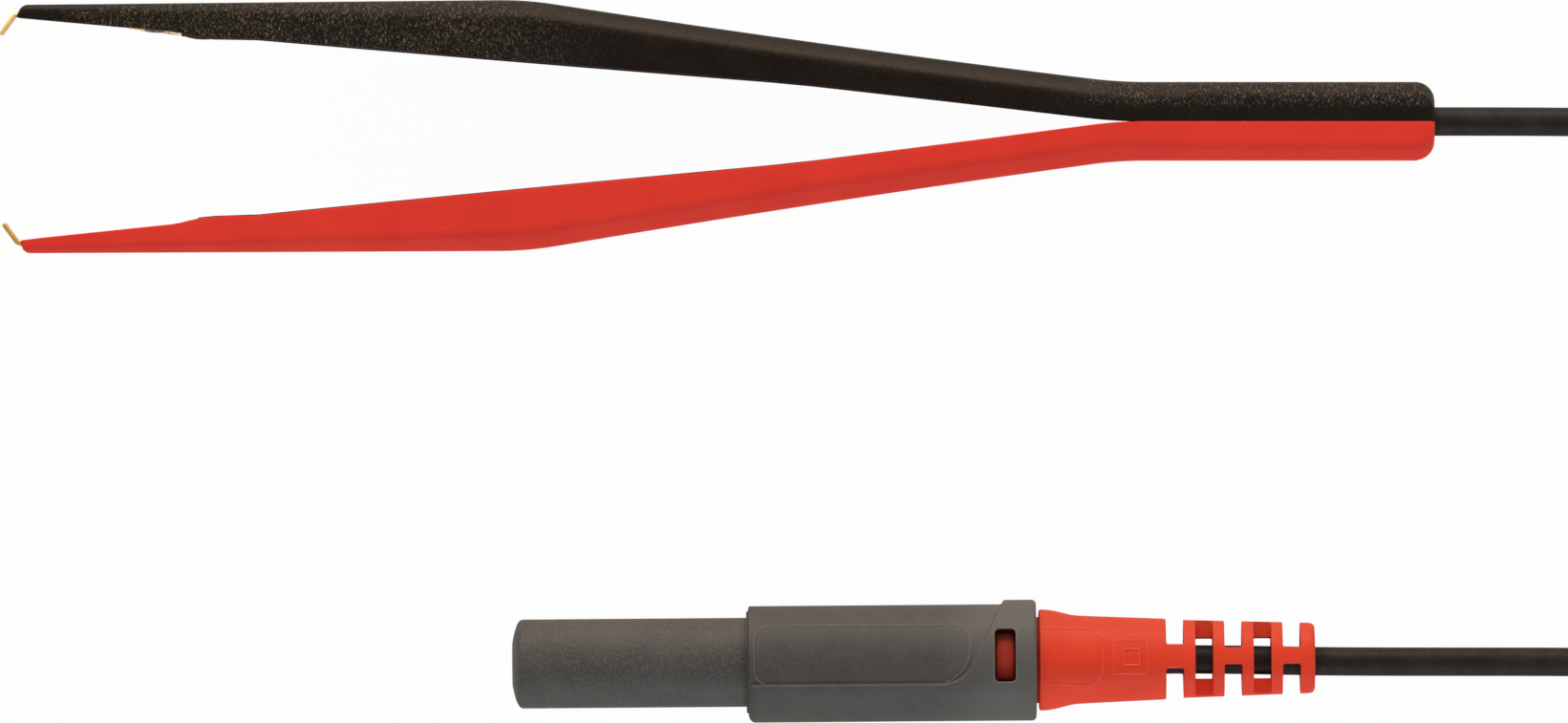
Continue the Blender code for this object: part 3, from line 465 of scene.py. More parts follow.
def feed(tree, socket, value):
    """Links another node's output to a socket, or sets a plain value there."""
    if hasattr(value, "is_output"):
        tree.links.new(value, socket)
    else:
        socket.default_value = value


def new_node(tree, kind, *values, **settings):
    """A node with the given settings, whose first inputs take the values in turn."""
    made = tree.nodes.new(kind)
    for key, value in settings.items():
        setattr(made, key, value)
    for socket, value in zip(made.inputs, values):
        feed(tree, socket, value)
    return made


class Finish:
    """A procedural material, built step by step from its nodes."""

    def __init__(self, name, roughness, metallic=0.0, specular=0.5):
        self.material = bpy.data.materials.new(name)
        self.material.use_nodes = True
        self.tree = self.material.node_tree
        self.shader = self.tree.nodes["Principled BSDF"]
        self.set("Metallic", metallic)
        self.set("Roughness", roughness)
        self.set("Specular IOR Level", specular)
        self.place = self.node("ShaderNodeTexCoord").outputs["Object"]
        self.normal = None

    def set(self, name, value):
        """Gives one of the shader's inputs a plain value or another node's output."""
        feed(self.tree, self.shader.inputs[name], value)

    def node(self, kind, *values, **settings):
        return new_node(self.tree, kind, *values, **settings)

    def math(self, operation, *values):
        return self.node("ShaderNodeMath", *values, operation=operation).outputs[0]

    def noise(self, size, detail=2.0, roughness=0.5, distortion=0.0, stretch=(1, 1, 1)):
        """Noise whose features are about the given size in millimetres."""
        scaled = self.node("ShaderNodeMapping", self.place)
        scaled.inputs["Scale"].default_value = stretch
        made = self.node("ShaderNodeTexNoise", scaled.outputs[0])
        for name, value in (("Scale", 1 / (size * MM)), ("Detail", detail), ("Roughness", roughness),
                            ("Distortion", distortion)):
            made.inputs[name].default_value = value
        return made.outputs["Fac"]

    def ramp(self, value, low, high, to_low=0.0, to_high=1.0):
        """Goes smoothly from to_low to to_high as the value goes from low to high."""
        return self.node("ShaderNodeMapRange", value, low, high, to_low, to_high,
                         interpolation_type="SMOOTHSTEP").outputs[0]

    def fade(self, axis, places, top=1.0):
        """Goes from 0 to top between two places in millimetres along an axis of the frame."""
        split = self.node("ShaderNodeSeparateXYZ", self.place)
        return self.ramp(split.outputs[axis], places[0] * MM, places[1] * MM, 0.0, top)

    def mix(self, share, first, second):
        """The first colour where the share is 0, and the second where it is 1."""
        made = self.node("ShaderNodeMix", share, data_type="RGBA")
        for socket, colour in ((made.inputs[6], first), (made.inputs[7], second)):
            feed(self.tree, socket, colour if hasattr(colour, "is_output") else (*colour, 1.0))
        return made.outputs[2]

    def patches(self, size, first, second, low=0.3, high=0.7, detail=3.0):
        """Two colours that take turns in soft patches of about the given size."""
        return self.mix(self.ramp(self.noise(size, detail), low, high), first, second)

    def grain(self, size, depth, matt, distortion=0.0):
        """Fine grain whose roughness stays in the matt range. Returns its height."""
        height = self.noise(size, 3.0, 0.6, distortion)
        self.relief(height, depth)
        self.roughness(self.ramp(height, 0.3, 0.7, *matt))
        return height

    def colour(self, value):
        self.set("Base Color", value)

    def roughness(self, value):
        self.set("Roughness", value)

    def relief(self, height, depth):
        """Adds surface relief of the given depth in millimetres."""
        made = self.node("ShaderNodeBump")
        made.inputs["Distance"].default_value = depth * MM
        feed(self.tree, made.inputs["Height"], height)
        if self.normal:
            feed(self.tree, made.inputs["Normal"], self.normal)
        self.normal = made.outputs[0]
        self.set("Normal", self.normal)


def spark_eroded_black():
    """Black moulding, whose eroded grain is coarse in places and nearly vanishes elsewhere; its coarse
    crests carry a painted glint.
    """
    made = Finish("black_moulding", 0.4, specular=0.24)
    made.set("Specular Tint", (1.0, 0.80, 0.64, 1.0))
    front = made.math("MULTIPLY", made.fade("X", ARM_GRAIN_REAR), made.fade("X", ARM_GRAIN_NOSE))
    rear = made.math("MULTIPLY", made.fade("X", HANDLE_GRAIN), made.fade("Y", HANDLE_GRAIN_STRIP))
    patches = made.ramp(made.noise(9.0), 0.35, 0.62, 0.72, 0.95)
    coarse = made.math("MULTIPLY", made.math("MAXIMUM", front, rear), patches)
    grain = made.noise(0.25, 2.0, 0.5, 1.0, stretch=(1.5, 0.7, 1.0))
    made.relief(made.math("MULTIPLY", grain, made.math("MULTIPLY_ADD", coarse, 0.8, 0.2)), 0.2)
    made.relief(made.noise(0.2, 2.0, 0.6), 0.02)
    base = made.patches(5.0, (0.0055, 0.0039, 0.0030), (0.0095, 0.0068, 0.0052))
    # Painted highlight: where the grain is coarse, its crests are painted a lighter brown in place of
    # glints of the lamp
    crest = made.ramp(grain, 0.56, 0.63)
    painted_glint = made.math("MULTIPLY", crest, made.math("MULTIPLY_ADD", coarse, 0.8, 0.04))
    made.colour(made.mix(painted_glint, base, (0.195, 0.164, 0.139)))
    made.roughness(made.ramp(grain, 0.3, 0.7, 0.36, 0.5))
    return made.material


def red_moulding():
    """Bright red moulding with a fine, even grain."""
    made = Finish("red_moulding", 0.5, specular=0.14)
    grain = made.grain(0.45, 0.05, (0.48, 0.62), 0.5)
    made.relief(made.noise(0.16), 0.012)
    base = made.patches(7.0, (0.825, 0.044, 0.027), (0.875, 0.050, 0.031))
    made.colour(made.mix(made.ramp(grain, 0.55, 0.75, 0.0, 0.3), base, (0.90, 0.062, 0.040)))
    return made.material


def grey_moulding(name, mottle, rear=0.0):
    """Matt grey plastic, mottled like the sleeve or smoother like the grip, and paler to the rear."""
    made = Finish(name, 0.6, specular=0.3)
    speckle = made.grain(0.26, 0.02 + 0.02 * mottle, (0.52, 0.68), 0.3)
    made.relief(made.noise(0.17), 0.010)
    base = made.patches(3.5, (0.064, 0.062, 0.058), (0.076, 0.074, 0.069))
    light = made.ramp(speckle, 0.42, 0.70, 0.0, 0.3 + 0.5 * mottle)
    mottled = made.mix(light, base, (0.128, 0.124, 0.116))
    made.colour(made.mix(made.fade("X", GRIP_PALER, rear), mottled, (0.142, 0.137, 0.130)))
    return made.material


def plug_red(name, colour, lighter, flank):
    """Orange-red plastic, with painted shade that deepens it a little towards the flank that faces the
    lamp.
    """
    made = Finish(name, 0.5, specular=0.2)
    made.grain(0.35, 0.018, (0.45, 0.6))
    # Painted shade: towards the lamp's flank the colour turns to the darker flank colour, evening out
    # the lamp's light there
    made.colour(made.mix(made.fade("Y", LAMP_FLANK), made.patches(4.0, colour, lighter), flank))
    return made.material


def sheath(name, colour, lighter, roughness):
    """Extruded cable sheath or core insulation, with faint drawn marks."""
    made = Finish(name, roughness, specular=0.2)
    made.grain(0.5, 0.010, (roughness - 0.06, roughness + 0.08))
    made.colour(made.patches(2.5, colour, lighter, high=0.75))
    return made.material


def painted_highlight_crest(name, colour, lighter):
    """Top of a fine moulded line, a little lighter than the ground that it stands on: a painted
    highlight where the ridge catches the light.
    """
    made = Finish(name, 0.5, specular=0.3)
    made.colour(made.patches(1.2, colour, lighter, 0.35, 0.65, 2.0))
    return made.material


def wire_joint():
    """Clear insulation in front and the bright metal of the joint behind it."""
    made = Finish("wire_joint", 0.4, specular=0.4)
    grain = made.noise(0.35, 3.0, 0.6)
    made.relief(grain, 0.05)
    joint = made.fade("X", BARE_JOINT)
    gilt = made.mix(made.ramp(grain, 0.40, 0.60), (0.62, 0.44, 0.20), (1.0, 0.88, 0.66))
    clear = made.mix(made.ramp(grain, 0.35, 0.65), (0.13, 0.10, 0.085), (0.34, 0.26, 0.21))
    made.colour(made.mix(joint, clear, gilt))
    made.set("Metallic", made.math("MULTIPLY", joint, 0.5))
    return made.material


def metal(name, colour, lighter, roughness, metallic=1.0, size=0.6):
    """Plated or bare metal, worn in small patches of the given size."""
    made = Finish(name, roughness, metallic=metallic)
    wear = made.noise(size, 4.0, 0.65)
    made.relief(made.noise(0.25), 0.004)
    made.colour(made.mix(made.ramp(wear, 0.3, 0.7), colour, lighter))
    made.roughness(made.ramp(wear, 0.3, 0.7, roughness - 0.06, roughness + 0.12))
    return made.material


def all_finishes():
    """Every finish, by the name that the builders and KEPT_PIECES use."""
    return {
        "black": spark_eroded_black(),
        "red": red_moulding(),
        "sleeve": grey_moulding("sleeve_grey", 1.0),
        "grip": grey_moulding("grip_grey", 0.25, 0.6),
        "carrier": grey_moulding("carrier_grey", 0.4),
        # The flank colours below are painted shade for the side of the plug that faces the lamp
        "plug_red": plug_red("plug_red_moulding", (0.84, 0.052, 0.020), (0.90, 0.060, 0.024),
                             (0.60, 0.054, 0.022)),
        # The lugs' red is a darker copy of the plug's red: painted shade for their place deep in the
        # windows
        "lug": plug_red("lug_red_painted_shade", (0.40, 0.034, 0.018), (0.47, 0.040, 0.022), (0.34, 0.034, 0.018)),
        # Painted highlight: the fine lines' tops are lighter than the ground they stand on
        "grey_crest_painted_highlight": painted_highlight_crest("grey_crest_painted_highlight", (0.145, 0.140, 0.130), (0.20, 0.19, 0.18)),
        "red_crest_painted_highlight": painted_highlight_crest("red_crest_painted_highlight", (0.84, 0.090, 0.045), (0.90, 0.125, 0.070)),
        "cable": sheath("cable_sheath", (0.014, 0.011, 0.0088), (0.025, 0.02, 0.0165), 0.55),
        "wire_end": sheath("wire_end_brown", (0.026, 0.020, 0.016), (0.044, 0.035, 0.028), 0.5),
        "cover": sheath("wire_cover_black", (0.010, 0.0088, 0.0080), (0.017, 0.015, 0.013), 0.5),
        "black_core": sheath("black_core", (0.012, 0.011, 0.010), (0.022, 0.020, 0.018), 0.42),
        "red_core": sheath("red_core", (0.55, 0.030, 0.020), (0.66, 0.045, 0.030), 0.42),
        "joint": wire_joint(),
        "black_gold": metal("gold_plate_worn", (0.96, 0.66, 0.20), (1.0, 0.74, 0.30), 0.45, 0.5),
        "red_gold": metal("gold_plate_tarnished", (0.62, 0.33, 0.07), (0.86, 0.52, 0.14), 0.45, 0.5,
                          0.3),
        "tin": metal("tinned_splice", (0.62, 0.60, 0.55), (0.82, 0.80, 0.75), 0.26),
        "steel": metal("spring_wire_steel", (0.50, 0.50, 0.50), (0.66, 0.65, 0.63), 0.3),
        "nickel": metal("nickel_plate", (0.62, 0.60, 0.56), (0.78, 0.76, 0.72), 0.2),
        "copper": metal("bare_copper", (0.78, 0.38, 0.24), (0.90, 0.52, 0.36), 0.32),
    }


# Tweezers

def sagging(start, end, sag, at):
    """Height of a line between two points that hangs through in the middle."""
    share = (at - start[0]) / (end[0] - start[0])
    return start[1] + (end[1] - start[1]) * share - 4 * sag * share * (1 - share)


def outer_line(at):
    """How far out the arm's back lies, before its knee is rounded."""
    if at < KNEE_AT:
        return sagging((0, SHELL_THICKNESS), (KNEE_AT, KNEE_REACH), OUTER_SAG, max(at, 0))
    share = (at - KNEE_AT) / (ARM_LENGTH - KNEE_AT)
    return KNEE_REACH + (NOSE_REACH - KNEE_REACH) * share


def inner_line(at):
    """How far out the arm's inner edge lies, before its knee is rounded."""
    knee = (INNER_KNEE_AT, INNER_KNEE_REACH)
    if at < INNER_KNEE_AT:
        return sagging((0, SEAM_GAP), knee, 0, max(at, 0))
    return sagging(knee, (ARM_LENGTH, NOSE_REACH - NOSE_THICKNESS), INNER_SAG, at)


def averaged(line, at):
    """Mean of a line about a place, which rounds its knee."""
    places = np.linspace(at - KNEE_ROUNDING, at + KNEE_ROUNDING, 13)
    return float(np.mean([line(place) for place in places]))


def inner_edge(at):
    """The inner edge as moulded, with the low bump behind the contact wire."""
    rise = eased(BUMP_FRONT, BUMP_FRONT - BUMP_RISE, at)
    fall = eased(BUMP_FRONT - BUMP_LENGTH, BUMP_FRONT - BUMP_LENGTH + BUMP_FALL, at)
    straight = averaged(inner_line, at) if at > -KNEE_ROUNDING else SEAM_GAP
    return straight - BUMP_HEIGHT * rise * fall


def on_arm(along, outward, side):
    """X and Y, in the frame, of a place on an arm, which OPEN_TURN turns a little."""
    turn = math.radians(OPEN_TURN[side]) * float(eased(*OPEN_FADE, along))
    depth = outward - SHELL_THICKNESS / 2
    x = FLEX_X - along * math.cos(turn) + depth * math.sin(turn)
    y = SHELL_THICKNESS / 2 + along * math.sin(turn) + depth * math.cos(turn)
    return x, SEAM_Y + SIDES[side] * y


def rounding(radius, distance):
    """How far a rounded end falls back at a distance from its very end."""
    return radius - math.sqrt(max(radius ** 2 - max(radius - distance, 0) ** 2, 0))


def moulding_section(inner, outer, half, band, width, depth):
    """Outline of the moulding across its length, as (outward, z) pairs."""
    edge = min(0.3, (half - width / 2) / 3)
    band = min(band, 0.6 * (outer - inner))
    crown = CROWN_SHARE * band
    upper = [(inner + depth, width / 2), (inner, width / 2), (inner, half - edge * 0.2),
             (inner + edge * 0.2, half), (outer - band, half), (outer - crown, half - crown),
             (outer, half - band)]
    corners = upper + [(outward, -z) for outward, z in reversed(upper)]
    cuts = [LIP_ROUND, LIP_ROUND, EDGE_ROUND, EDGE_ROUND, SHOULDER_ROUND, CROWN_ROUND, SHOULDER_ROUND]
    steps = [2, 3, 3, 3, 4, 3, 4]
    return curved_corners(corners, cuts + cuts[::-1], steps + steps[::-1])


def moulding_places():
    """Where the moulding's sections lie, from the arm's nose to the handle's rear."""
    nose = [ARM_LENGTH - back for back in NOSE_STEPS]
    front = np.arange(ARM_LENGTH - 4.0, PIN_ROOT + 0.6, -1.0)
    middle = np.arange(PIN_ROOT - 1.0, -SHELL_LENGTH + REAR_CORNER + 0.4, -1.0)
    rear = [REAR_CORNER * (1 - math.sin(angle)) - SHELL_LENGTH
            for angle in np.linspace(0, math.pi / 2, 14)]
    return nose + list(front) + [PIN_ROOT + WIRE_GAP, PIN_ROOT] + list(middle) + rear


def moulding_ring(at, side):
    """The moulding's section at a place, as points in the frame."""
    to_nose, to_rear = ARM_LENGTH - at, SHELL_LENGTH + at
    outer = averaged(outer_line, at)
    inner = inner_edge(at)
    share = max(at - KNEE_AT, 0) / (ARM_LENGTH - KNEE_AT)
    half = (HANDLE_WIDTH + (NOSE_WIDTH - HANDLE_WIDTH) * share) / 2
    band = ARM_BAND + (NOSE_BAND - ARM_BAND) * share
    band -= (ARM_BAND - SHELL_BAND) * float(eased(0, -BAND_FADE, at))
    nose, rear = rounding(NOSE_ROUND, to_nose), rounding(REAR_ROUND, to_rear)
    outer -= nose + rounding(REAR_CORNER, to_rear)
    half -= nose / 2 + rear
    inner += 0.25 * nose + 0.2 * rear
    wide = at < PIN_ROOT + WIRE_GAP / 2
    width, depth = (CHANNEL_WIDTH, CHANNEL_DEPTH) if wide else (PIN_GROOVE_WIDTH, PIN_GROOVE_DEPTH)
    near_nose = float(eased(*NOSE_SLANT_REACH, to_nose))
    lean = NOSE_SLANT[side] / NOSE_THICKNESS * near_nose
    back = NOSE_BACK[side] * near_nose
    return [(*on_arm(at - back - lean * (outward - inner), outward, side), MID_Z + z)
            for outward, z in moulding_section(inner, outer, half, band, width, depth)]


def build_moulding(side, finish):
    """Arm and handle shell in one, bending at the root of the arm."""
    piece = lofted(f"{side}_moulding", [moulding_ring(at, side) for at in moulding_places()], finish, 35)
    bore = [(POCKET_FRONT, FERRULE_POCKET), (POCKET_REAR, FERRULE_POCKET),
            (POCKET_REAR, CABLE_BORE), (REAR_X + 1, CABLE_BORE)]
    rings = [[(x, SEAM_Y + r * math.cos(a), MID_Z + r * math.sin(a)) for a in circle(64)]
             for x, r in bore]
    carve(piece, [lofted("bore_tool", rings, finish)])
    soften(piece)
    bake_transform(piece)
    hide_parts(f"{side}_arm", f"{side}_handle_shell")


def contact_line(side):
    """Centre line of the contact wire, from its tip over the bend to the splice."""
    turn = math.radians(PIN_BEND)
    start = (ARM_LENGTH - NOSE_SLANT[side] / 2 - NOSE_BACK[side],
             NOSE_REACH - NOSE_THICKNESS + PIN_DEPTH)
    bend = [(start[0] + PIN_BEND_RADIUS * math.sin(angle),
             start[1] - PIN_BEND_RADIUS * (1 - math.cos(angle))) for angle in np.linspace(0, turn, 9)]
    out = PIN_OUT - PIN_DIAMETER / 2
    tip = (bend[-1][0] + out * math.cos(turn), bend[-1][1] - out * math.sin(turn))
    run = [(at, inner_edge(at) + PIN_DEPTH) for at in np.linspace(ARM_LENGTH - 4, PIN_ROOT + 3, 6)]
    end = (PIN_ROOT, inner_edge(PIN_ROOT) + SPLICE_DEPTH + JOINT_SINK[side])
    flat = [tip] + bend[::-1] + run + [end]
    return [(*on_arm(along, outward, side), MID_Z) for along, outward in flat]


def build_contact_wire(side, finish):
    """Bent wire with a rounded tip, along the nose of an arm."""
    line = [Vector(point) for point in contact_line(side)]
    ahead = (line[0] - line[1]).normalized()
    radius = PIN_DIAMETER / 2
    dome = [line[0] + ahead * radius * math.sin(angle) for angle in PIN_DOME]
    radii = [radius * math.cos(angle) for angle in PIN_DOME] + [radius] * len(line)
    piece = swept(f"{side}_contact_wire", dome + line, radii, finish, 20)
    settle(piece, f"{side}_arm", "gold_plate", f"{side}_contact_pin")


def build_splice(side, joint, wire):
    """Joint of wire and contact, and the insulated wire's end, which meets it."""
    for name, rings, finish, slot, nodes in (
            ("splice", SPLICE_RINGS, joint, "gold_plate", [f"{side}_splice"]),
            ("wire_end", WIRE_END_RINGS, wire, "cable_black", [])):
        line = [(*on_arm(at, inner_edge(at) + depth + JOINT_SINK[side], side), MID_Z)
                for at, depth, _ in rings]
        piece = swept(f"{side}_{name}_shape", line, [radius for _, _, radius in rings], finish, 20)
        settle(piece, f"{side}_arm", slot, *nodes)


def build_red_wire(finish):
    """The red arm's wire, which stays in its channel up to the hidden joint."""
    line = [(*on_arm(at, inner_edge(at) + WIRE_DEPTH, "red"), MID_Z)
            for at in np.linspace(WIRE_ROOT, WIRE_FRONT, 60)]
    piece = swept("red_wire_run", line, [WIRE_DIAMETER / 2] * len(line), finish, 16)
    settle(piece, "red_arm", "red_plastic", "red_arm_wire")


# Plug

PLUG_MATRIX = (Matrix.Translation(Vector((*PLUG_AT, BODY_RADIUS)) * MM)
               @ Euler((-math.radians(PLUG_ROLL), 0, math.radians(PLUG_TURN))).to_matrix().to_4x4())


def seat_on_plug(piece, body, slot, *nodes):
    """Moves a piece made along the X axis to the plug's place."""
    piece.data.transform(PLUG_MATRIX)
    return settle(piece, body, slot, *nodes)


def build_sleeve(finish):
    """Retractable sleeve: rounded nose, narrow mouth, and a foot behind the grip body's lip."""
    rim = SLEEVE_MOUTH + 0.15
    inner_wall = SLEEVE_FRONT - SLEEVE_OUT
    outline = [(inner_wall, SLEEVE_MOUTH), (-SLEEVE_OUT + 0.15, SLEEVE_MOUTH),
               (-SLEEVE_OUT + 0.04, SLEEVE_MOUTH + 0.05), (-SLEEVE_OUT, rim)]
    for share in np.linspace(0, 1, 17)[1:] ** 1.6:
        outline.append((-SLEEVE_OUT + SLEEVE_NOSE * share,
                        SLEEVE_RADIUS - (SLEEVE_RADIUS - rim) * (1 - share) ** 3))
    outline += [(FOOT_FRONT, SLEEVE_RADIUS), (FOOT_FRONT, FOOT_RADIUS),
                (SLEEVE_REAR - FOOT_EDGE, FOOT_RADIUS), (SLEEVE_REAR, FOOT_RADIUS - FOOT_EDGE),
                (SLEEVE_REAR, SPRING_BORE), (-SLEEVE_SEAT, SPRING_BORE), (-SLEEVE_SEAT, SLEEVE_BORE),
                (inner_wall, SLEEVE_BORE)]
    piece = turned("sleeve_shell", outline, finish, 120)
    return seat_on_plug(piece, "sleeve", "grey_plastic", "retractable_sleeve")


def recess_outline():
    """The label recess seen from the side, with its swept rear end."""
    reach = BODY_RADIUS + 3
    slope = math.tan(math.radians(RECESS_SLANT))
    corner = (RECESS_END, -RECESS_STEP)
    far = (RECESS_END + slope * (reach + RECESS_STEP), reach)
    front = (-LIP_OUT - 3, -RECESS_STEP)
    return [front] + fillet(corner, front, far, RECESS_CORNER, 16) + [far, (front[0], reach)]


def window_outline(margin, corner):
    """A window of the grip body, widened all round by a margin."""
    half = WINDOW_HEIGHT / 2 + margin
    rear = WINDOW_FRONT + WINDOW_LENGTH + margin
    return rounded_box_outline((WINDOW_FRONT - margin, -half), (rear, half), corner)


def body_profile():
    """Outline of the grip body as (along, radius) pairs, and how many of them are its outer skin."""
    rim, lip = BODY_RADIUS - SHOULDER, LIP_BORE + LIP_EDGE
    skin = [(-LIP_OUT, lip - 0.12), (-LIP_OUT + 0.04, lip - 0.03), (-LIP_OUT + 0.12, lip)]
    skin += [(SHOULDER * 0.7 * (1 - math.cos(a)), rim + SHOULDER * math.sin(a))
             for a in np.linspace(0, math.pi / 2, 12)]
    rear = BODY_LENGTH - BODY_REAR_EDGE
    skin += [(along, BODY_RADIUS) for along in np.arange(1.0, rear - 0.1, 0.2)]
    skin += [(rear + BODY_REAR_EDGE * math.sin(a), BODY_RADIUS - BODY_REAR_EDGE * (1 - math.cos(a)))
             for a in np.linspace(0, math.pi / 2, 6)]
    inside = [(BODY_LENGTH, REAR_BORE + 0.15), (BODY_LENGTH - 0.15, REAR_BORE), (CAVITY_END, REAR_BORE),
              (CAVITY_END, CAVITY_RADIUS), (LIP_END, CAVITY_RADIUS), (LIP_END, LIP_BORE),
              (-LIP_OUT + 0.1, LIP_BORE), (-LIP_OUT, LIP_BORE + 0.1)]
    return skin + inside, len(skin)


def through_tool(name, outline, reach, finish, sideways=False):
    """A prism right through the plug, on an outline of (along, across) pairs."""
    rings = [[(x, depth, y) if sideways else (x, y, depth) for x, y in outline]
             for depth in (-reach, reach)]
    return lofted(name, rings, finish)


def build_grip_body(finish):
    """Shell with a front lip, a label recess that ends in a sweep, and two windows."""
    profile, skin = body_profile()
    sides = 264
    angles = circle(sides)
    along, radius = (np.repeat(column[:, None], sides, axis=1) for column in np.array(profile).T)
    across = radius * np.cos(angles)
    inside = outline_distance(np.column_stack([along.ravel(), across.ravel()]), recess_outline())
    share = eased(-RECESS_EDGE, RECESS_EDGE, inside.reshape(along.shape))
    lowered = np.minimum(radius, BODY_RADIUS - RECESS_DEPTH)
    radius[:skin] = (radius + (lowered - radius) * share)[:skin]
    points = np.stack([along, radius * np.cos(angles), radius * np.sin(angles)], axis=2).reshape(-1, 3)
    piece = solid("grip_shell", points, grid_faces(len(profile), sides, closed_rows=True), finish, 32)
    window = window_outline(0.0, WINDOW_CORNER)
    carve(piece, [through_tool("window_tool", window, BODY_RADIUS + 1, finish)])
    piece.data.set_sharp_from_angle(angle=math.radians(32))
    return seat_on_plug(piece, "handle", "grey_plastic", "grip_body")


def raised_line(name, outline, radius_at, height, finish, slot):
    """A fine moulded ridge along a closed outline of (along, across) pairs on a turned surface."""
    runs = np.roll(outline, -1, axis=0) - np.roll(outline, 1, axis=0)
    rings = []
    for here, run in zip(np.array(outline), runs):
        side = np.array((-run[1], run[0])) / np.linalg.norm(run)
        for share, rise in LINE_SECTION:
            x, y = here + side * share * LINE_WIDTH
            base = radius_at(x)
            angle = math.asin(y / base)
            radius = base + rise * height
            rings.append((x, radius * math.sin(angle), radius * math.cos(angle)))
    faces = grid_faces(len(outline), len(LINE_SECTION), closed_rows=True)
    return seat_on_plug(solid(name, rings, faces, finish, 60), "handle", slot)


def dense(outline, step=0.4):
    """The same closed outline with points no further apart than the step."""
    points = []
    for start, end in zip(np.array(outline), np.roll(outline, -1, axis=0)):
        pieces = max(1, math.ceil(math.dist(start, end) / step))
        points += [tuple(start + (end - start) * piece / pieces) for piece in range(pieces)]
    return points


def insert_radius(along):
    """Outer radius of the insert's finger grip."""
    flare = (INSERT_SHOULDER + WAIST_AT) / 2
    places = [INSERT_SHOULDER + 0.2, INSERT_SHOULDER + 1.2, flare, WAIST_AT - 1.2, WAIST_AT,
              GRIP_END - 0.2]
    radii = [GRIP_RADIUS, GRIP_RADIUS - 0.03, (GRIP_RADIUS + WAIST_RADIUS) / 2 + 0.06,
             WAIST_RADIUS + 0.08, WAIST_RADIUS, GRIP_END_RADIUS]
    samples = np.linspace(along - 0.7, along + 0.7, 7)
    return float(np.mean(np.interp(samples, places, radii)))


def build_insert(finish):
    """Spigot, finger grip and ladder strain relief, with its slots cut through."""
    relief_end = GRIP_END + SLOT_COUNT * SLOT_WIDTH + (SLOT_COUNT - 1) * RING_WIDTH + END_RING_WIDTH
    outline = [(INSERT_FRONT, RELIEF_BORE), (INSERT_FRONT, SPIGOT_RADIUS - 0.3),
               (INSERT_FRONT + 0.3, SPIGOT_RADIUS), (INSERT_SHOULDER, SPIGOT_RADIUS),
               (INSERT_SHOULDER, GRIP_RADIUS - 0.22), (INSERT_SHOULDER + 0.06, GRIP_RADIUS - 0.07)]
    outline += [(along, insert_radius(along))
                for along in np.arange(INSERT_SHOULDER + 0.2, GRIP_END - 0.3, 0.4)]
    outline += [(GRIP_END - 0.1, GRIP_END_RADIUS - 0.02), (GRIP_END, RELIEF_START_RADIUS),
                (relief_end - 0.6, RELIEF_END_RADIUS), (relief_end - 0.25, RELIEF_END_RADIUS - 0.1),
                (relief_end - 0.05, RELIEF_END_RADIUS - 0.32), (relief_end, RELIEF_END_RADIUS - 0.5),
                (relief_end, RELIEF_BORE + 0.2), (relief_end - 0.2, RELIEF_BORE)]
    piece = turned("insert_moulding", outline, finish, 112)
    tools = []
    start = GRIP_END
    reach = GRIP_RADIUS + 1
    for index in range(SLOT_COUNT):
        bridge = FIRST_BRIDGE if index == 0 else BRIDGE
        for sign in (1, -1):
            low, high = sorted((sign * bridge / 2, sign * reach))
            flat = rounded_box_outline((start, low), (start + SLOT_WIDTH, high), SLOT_CORNER)
            sideways = index % 2 == 1
            tools.append(through_tool(f"slot_tool_{index}_{sign + 1}", flat, reach, finish, sideways))
        start += SLOT_WIDTH + RING_WIDTH
    carve(piece, tools)
    soften(piece, 0.07, 50)
    return seat_on_plug(piece, "handle", "plug_red", "insert")


def build_lug(name, turned_over, finish):
    """Snap lug of the insert, which shows in a window of the grip body."""
    half = WINDOW_HEIGHT / 2 - REST_GAP
    front, rear = WINDOW_FRONT + LUG_GAP, WINDOW_FRONT + WINDOW_LENGTH - LUG_GAP
    rings = []
    for y in np.linspace(-half, half, 25):
        end = min(half - abs(y), LUG_ROUND) / LUG_ROUND
        top = math.sqrt(LUG_TOP ** 2 - y ** 2) - LUG_ROUND * (1 - end) ** 2
        low = math.sqrt((SPIGOT_RADIUS - LUG_ROOT) ** 2 - y ** 2)
        rings.append([(front, y, low)] + [(front + inward, y, top - down) for inward, down in LUG_EDGE]
                     + [(rear - inward, y, top - down) for inward, down in reversed(LUG_EDGE)]
                     + [(rear, y, low)])
    piece = lofted(name, rings, finish, 60)
    if turned_over:
        piece.data.transform(Matrix.Rotation(math.pi, 4, "X"))
    return seat_on_plug(piece, "handle", "plug_red")


def build_spring(finish):
    """Compression spring with closed end turns; on the real plug it shortens as the sleeve slides back.
    """
    radius = SPRING_BORE - SPRING_GAP - SPRING_WIRE / 2
    closed = SPRING_WIRE * SPRING_CLOSED
    turns = np.linspace(0, SPRING_TURNS, SPRING_TURNS * 40 + 1)
    along = np.interp(turns, [0, 1, SPRING_TURNS - 1, SPRING_TURNS],
                      [SPRING_FRONT, SPRING_FRONT + closed, SPRING_REAR - closed, SPRING_REAR])
    spokes = circle(12)
    rings = []
    for turn, x in zip(turns * 2 * math.pi, along):
        reach = radius + SPRING_WIRE / 2 * np.cos(spokes)
        rings.append(np.column_stack([x + SPRING_WIRE / 2 * np.sin(spokes),
                                      reach * math.cos(turn), reach * math.sin(turn)]))
    piece = lofted("spring_wire", rings, finish)
    seat_on_plug(piece, "handle", "spring_steel", "sleeve_spring")
    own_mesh(piece)
    return piece


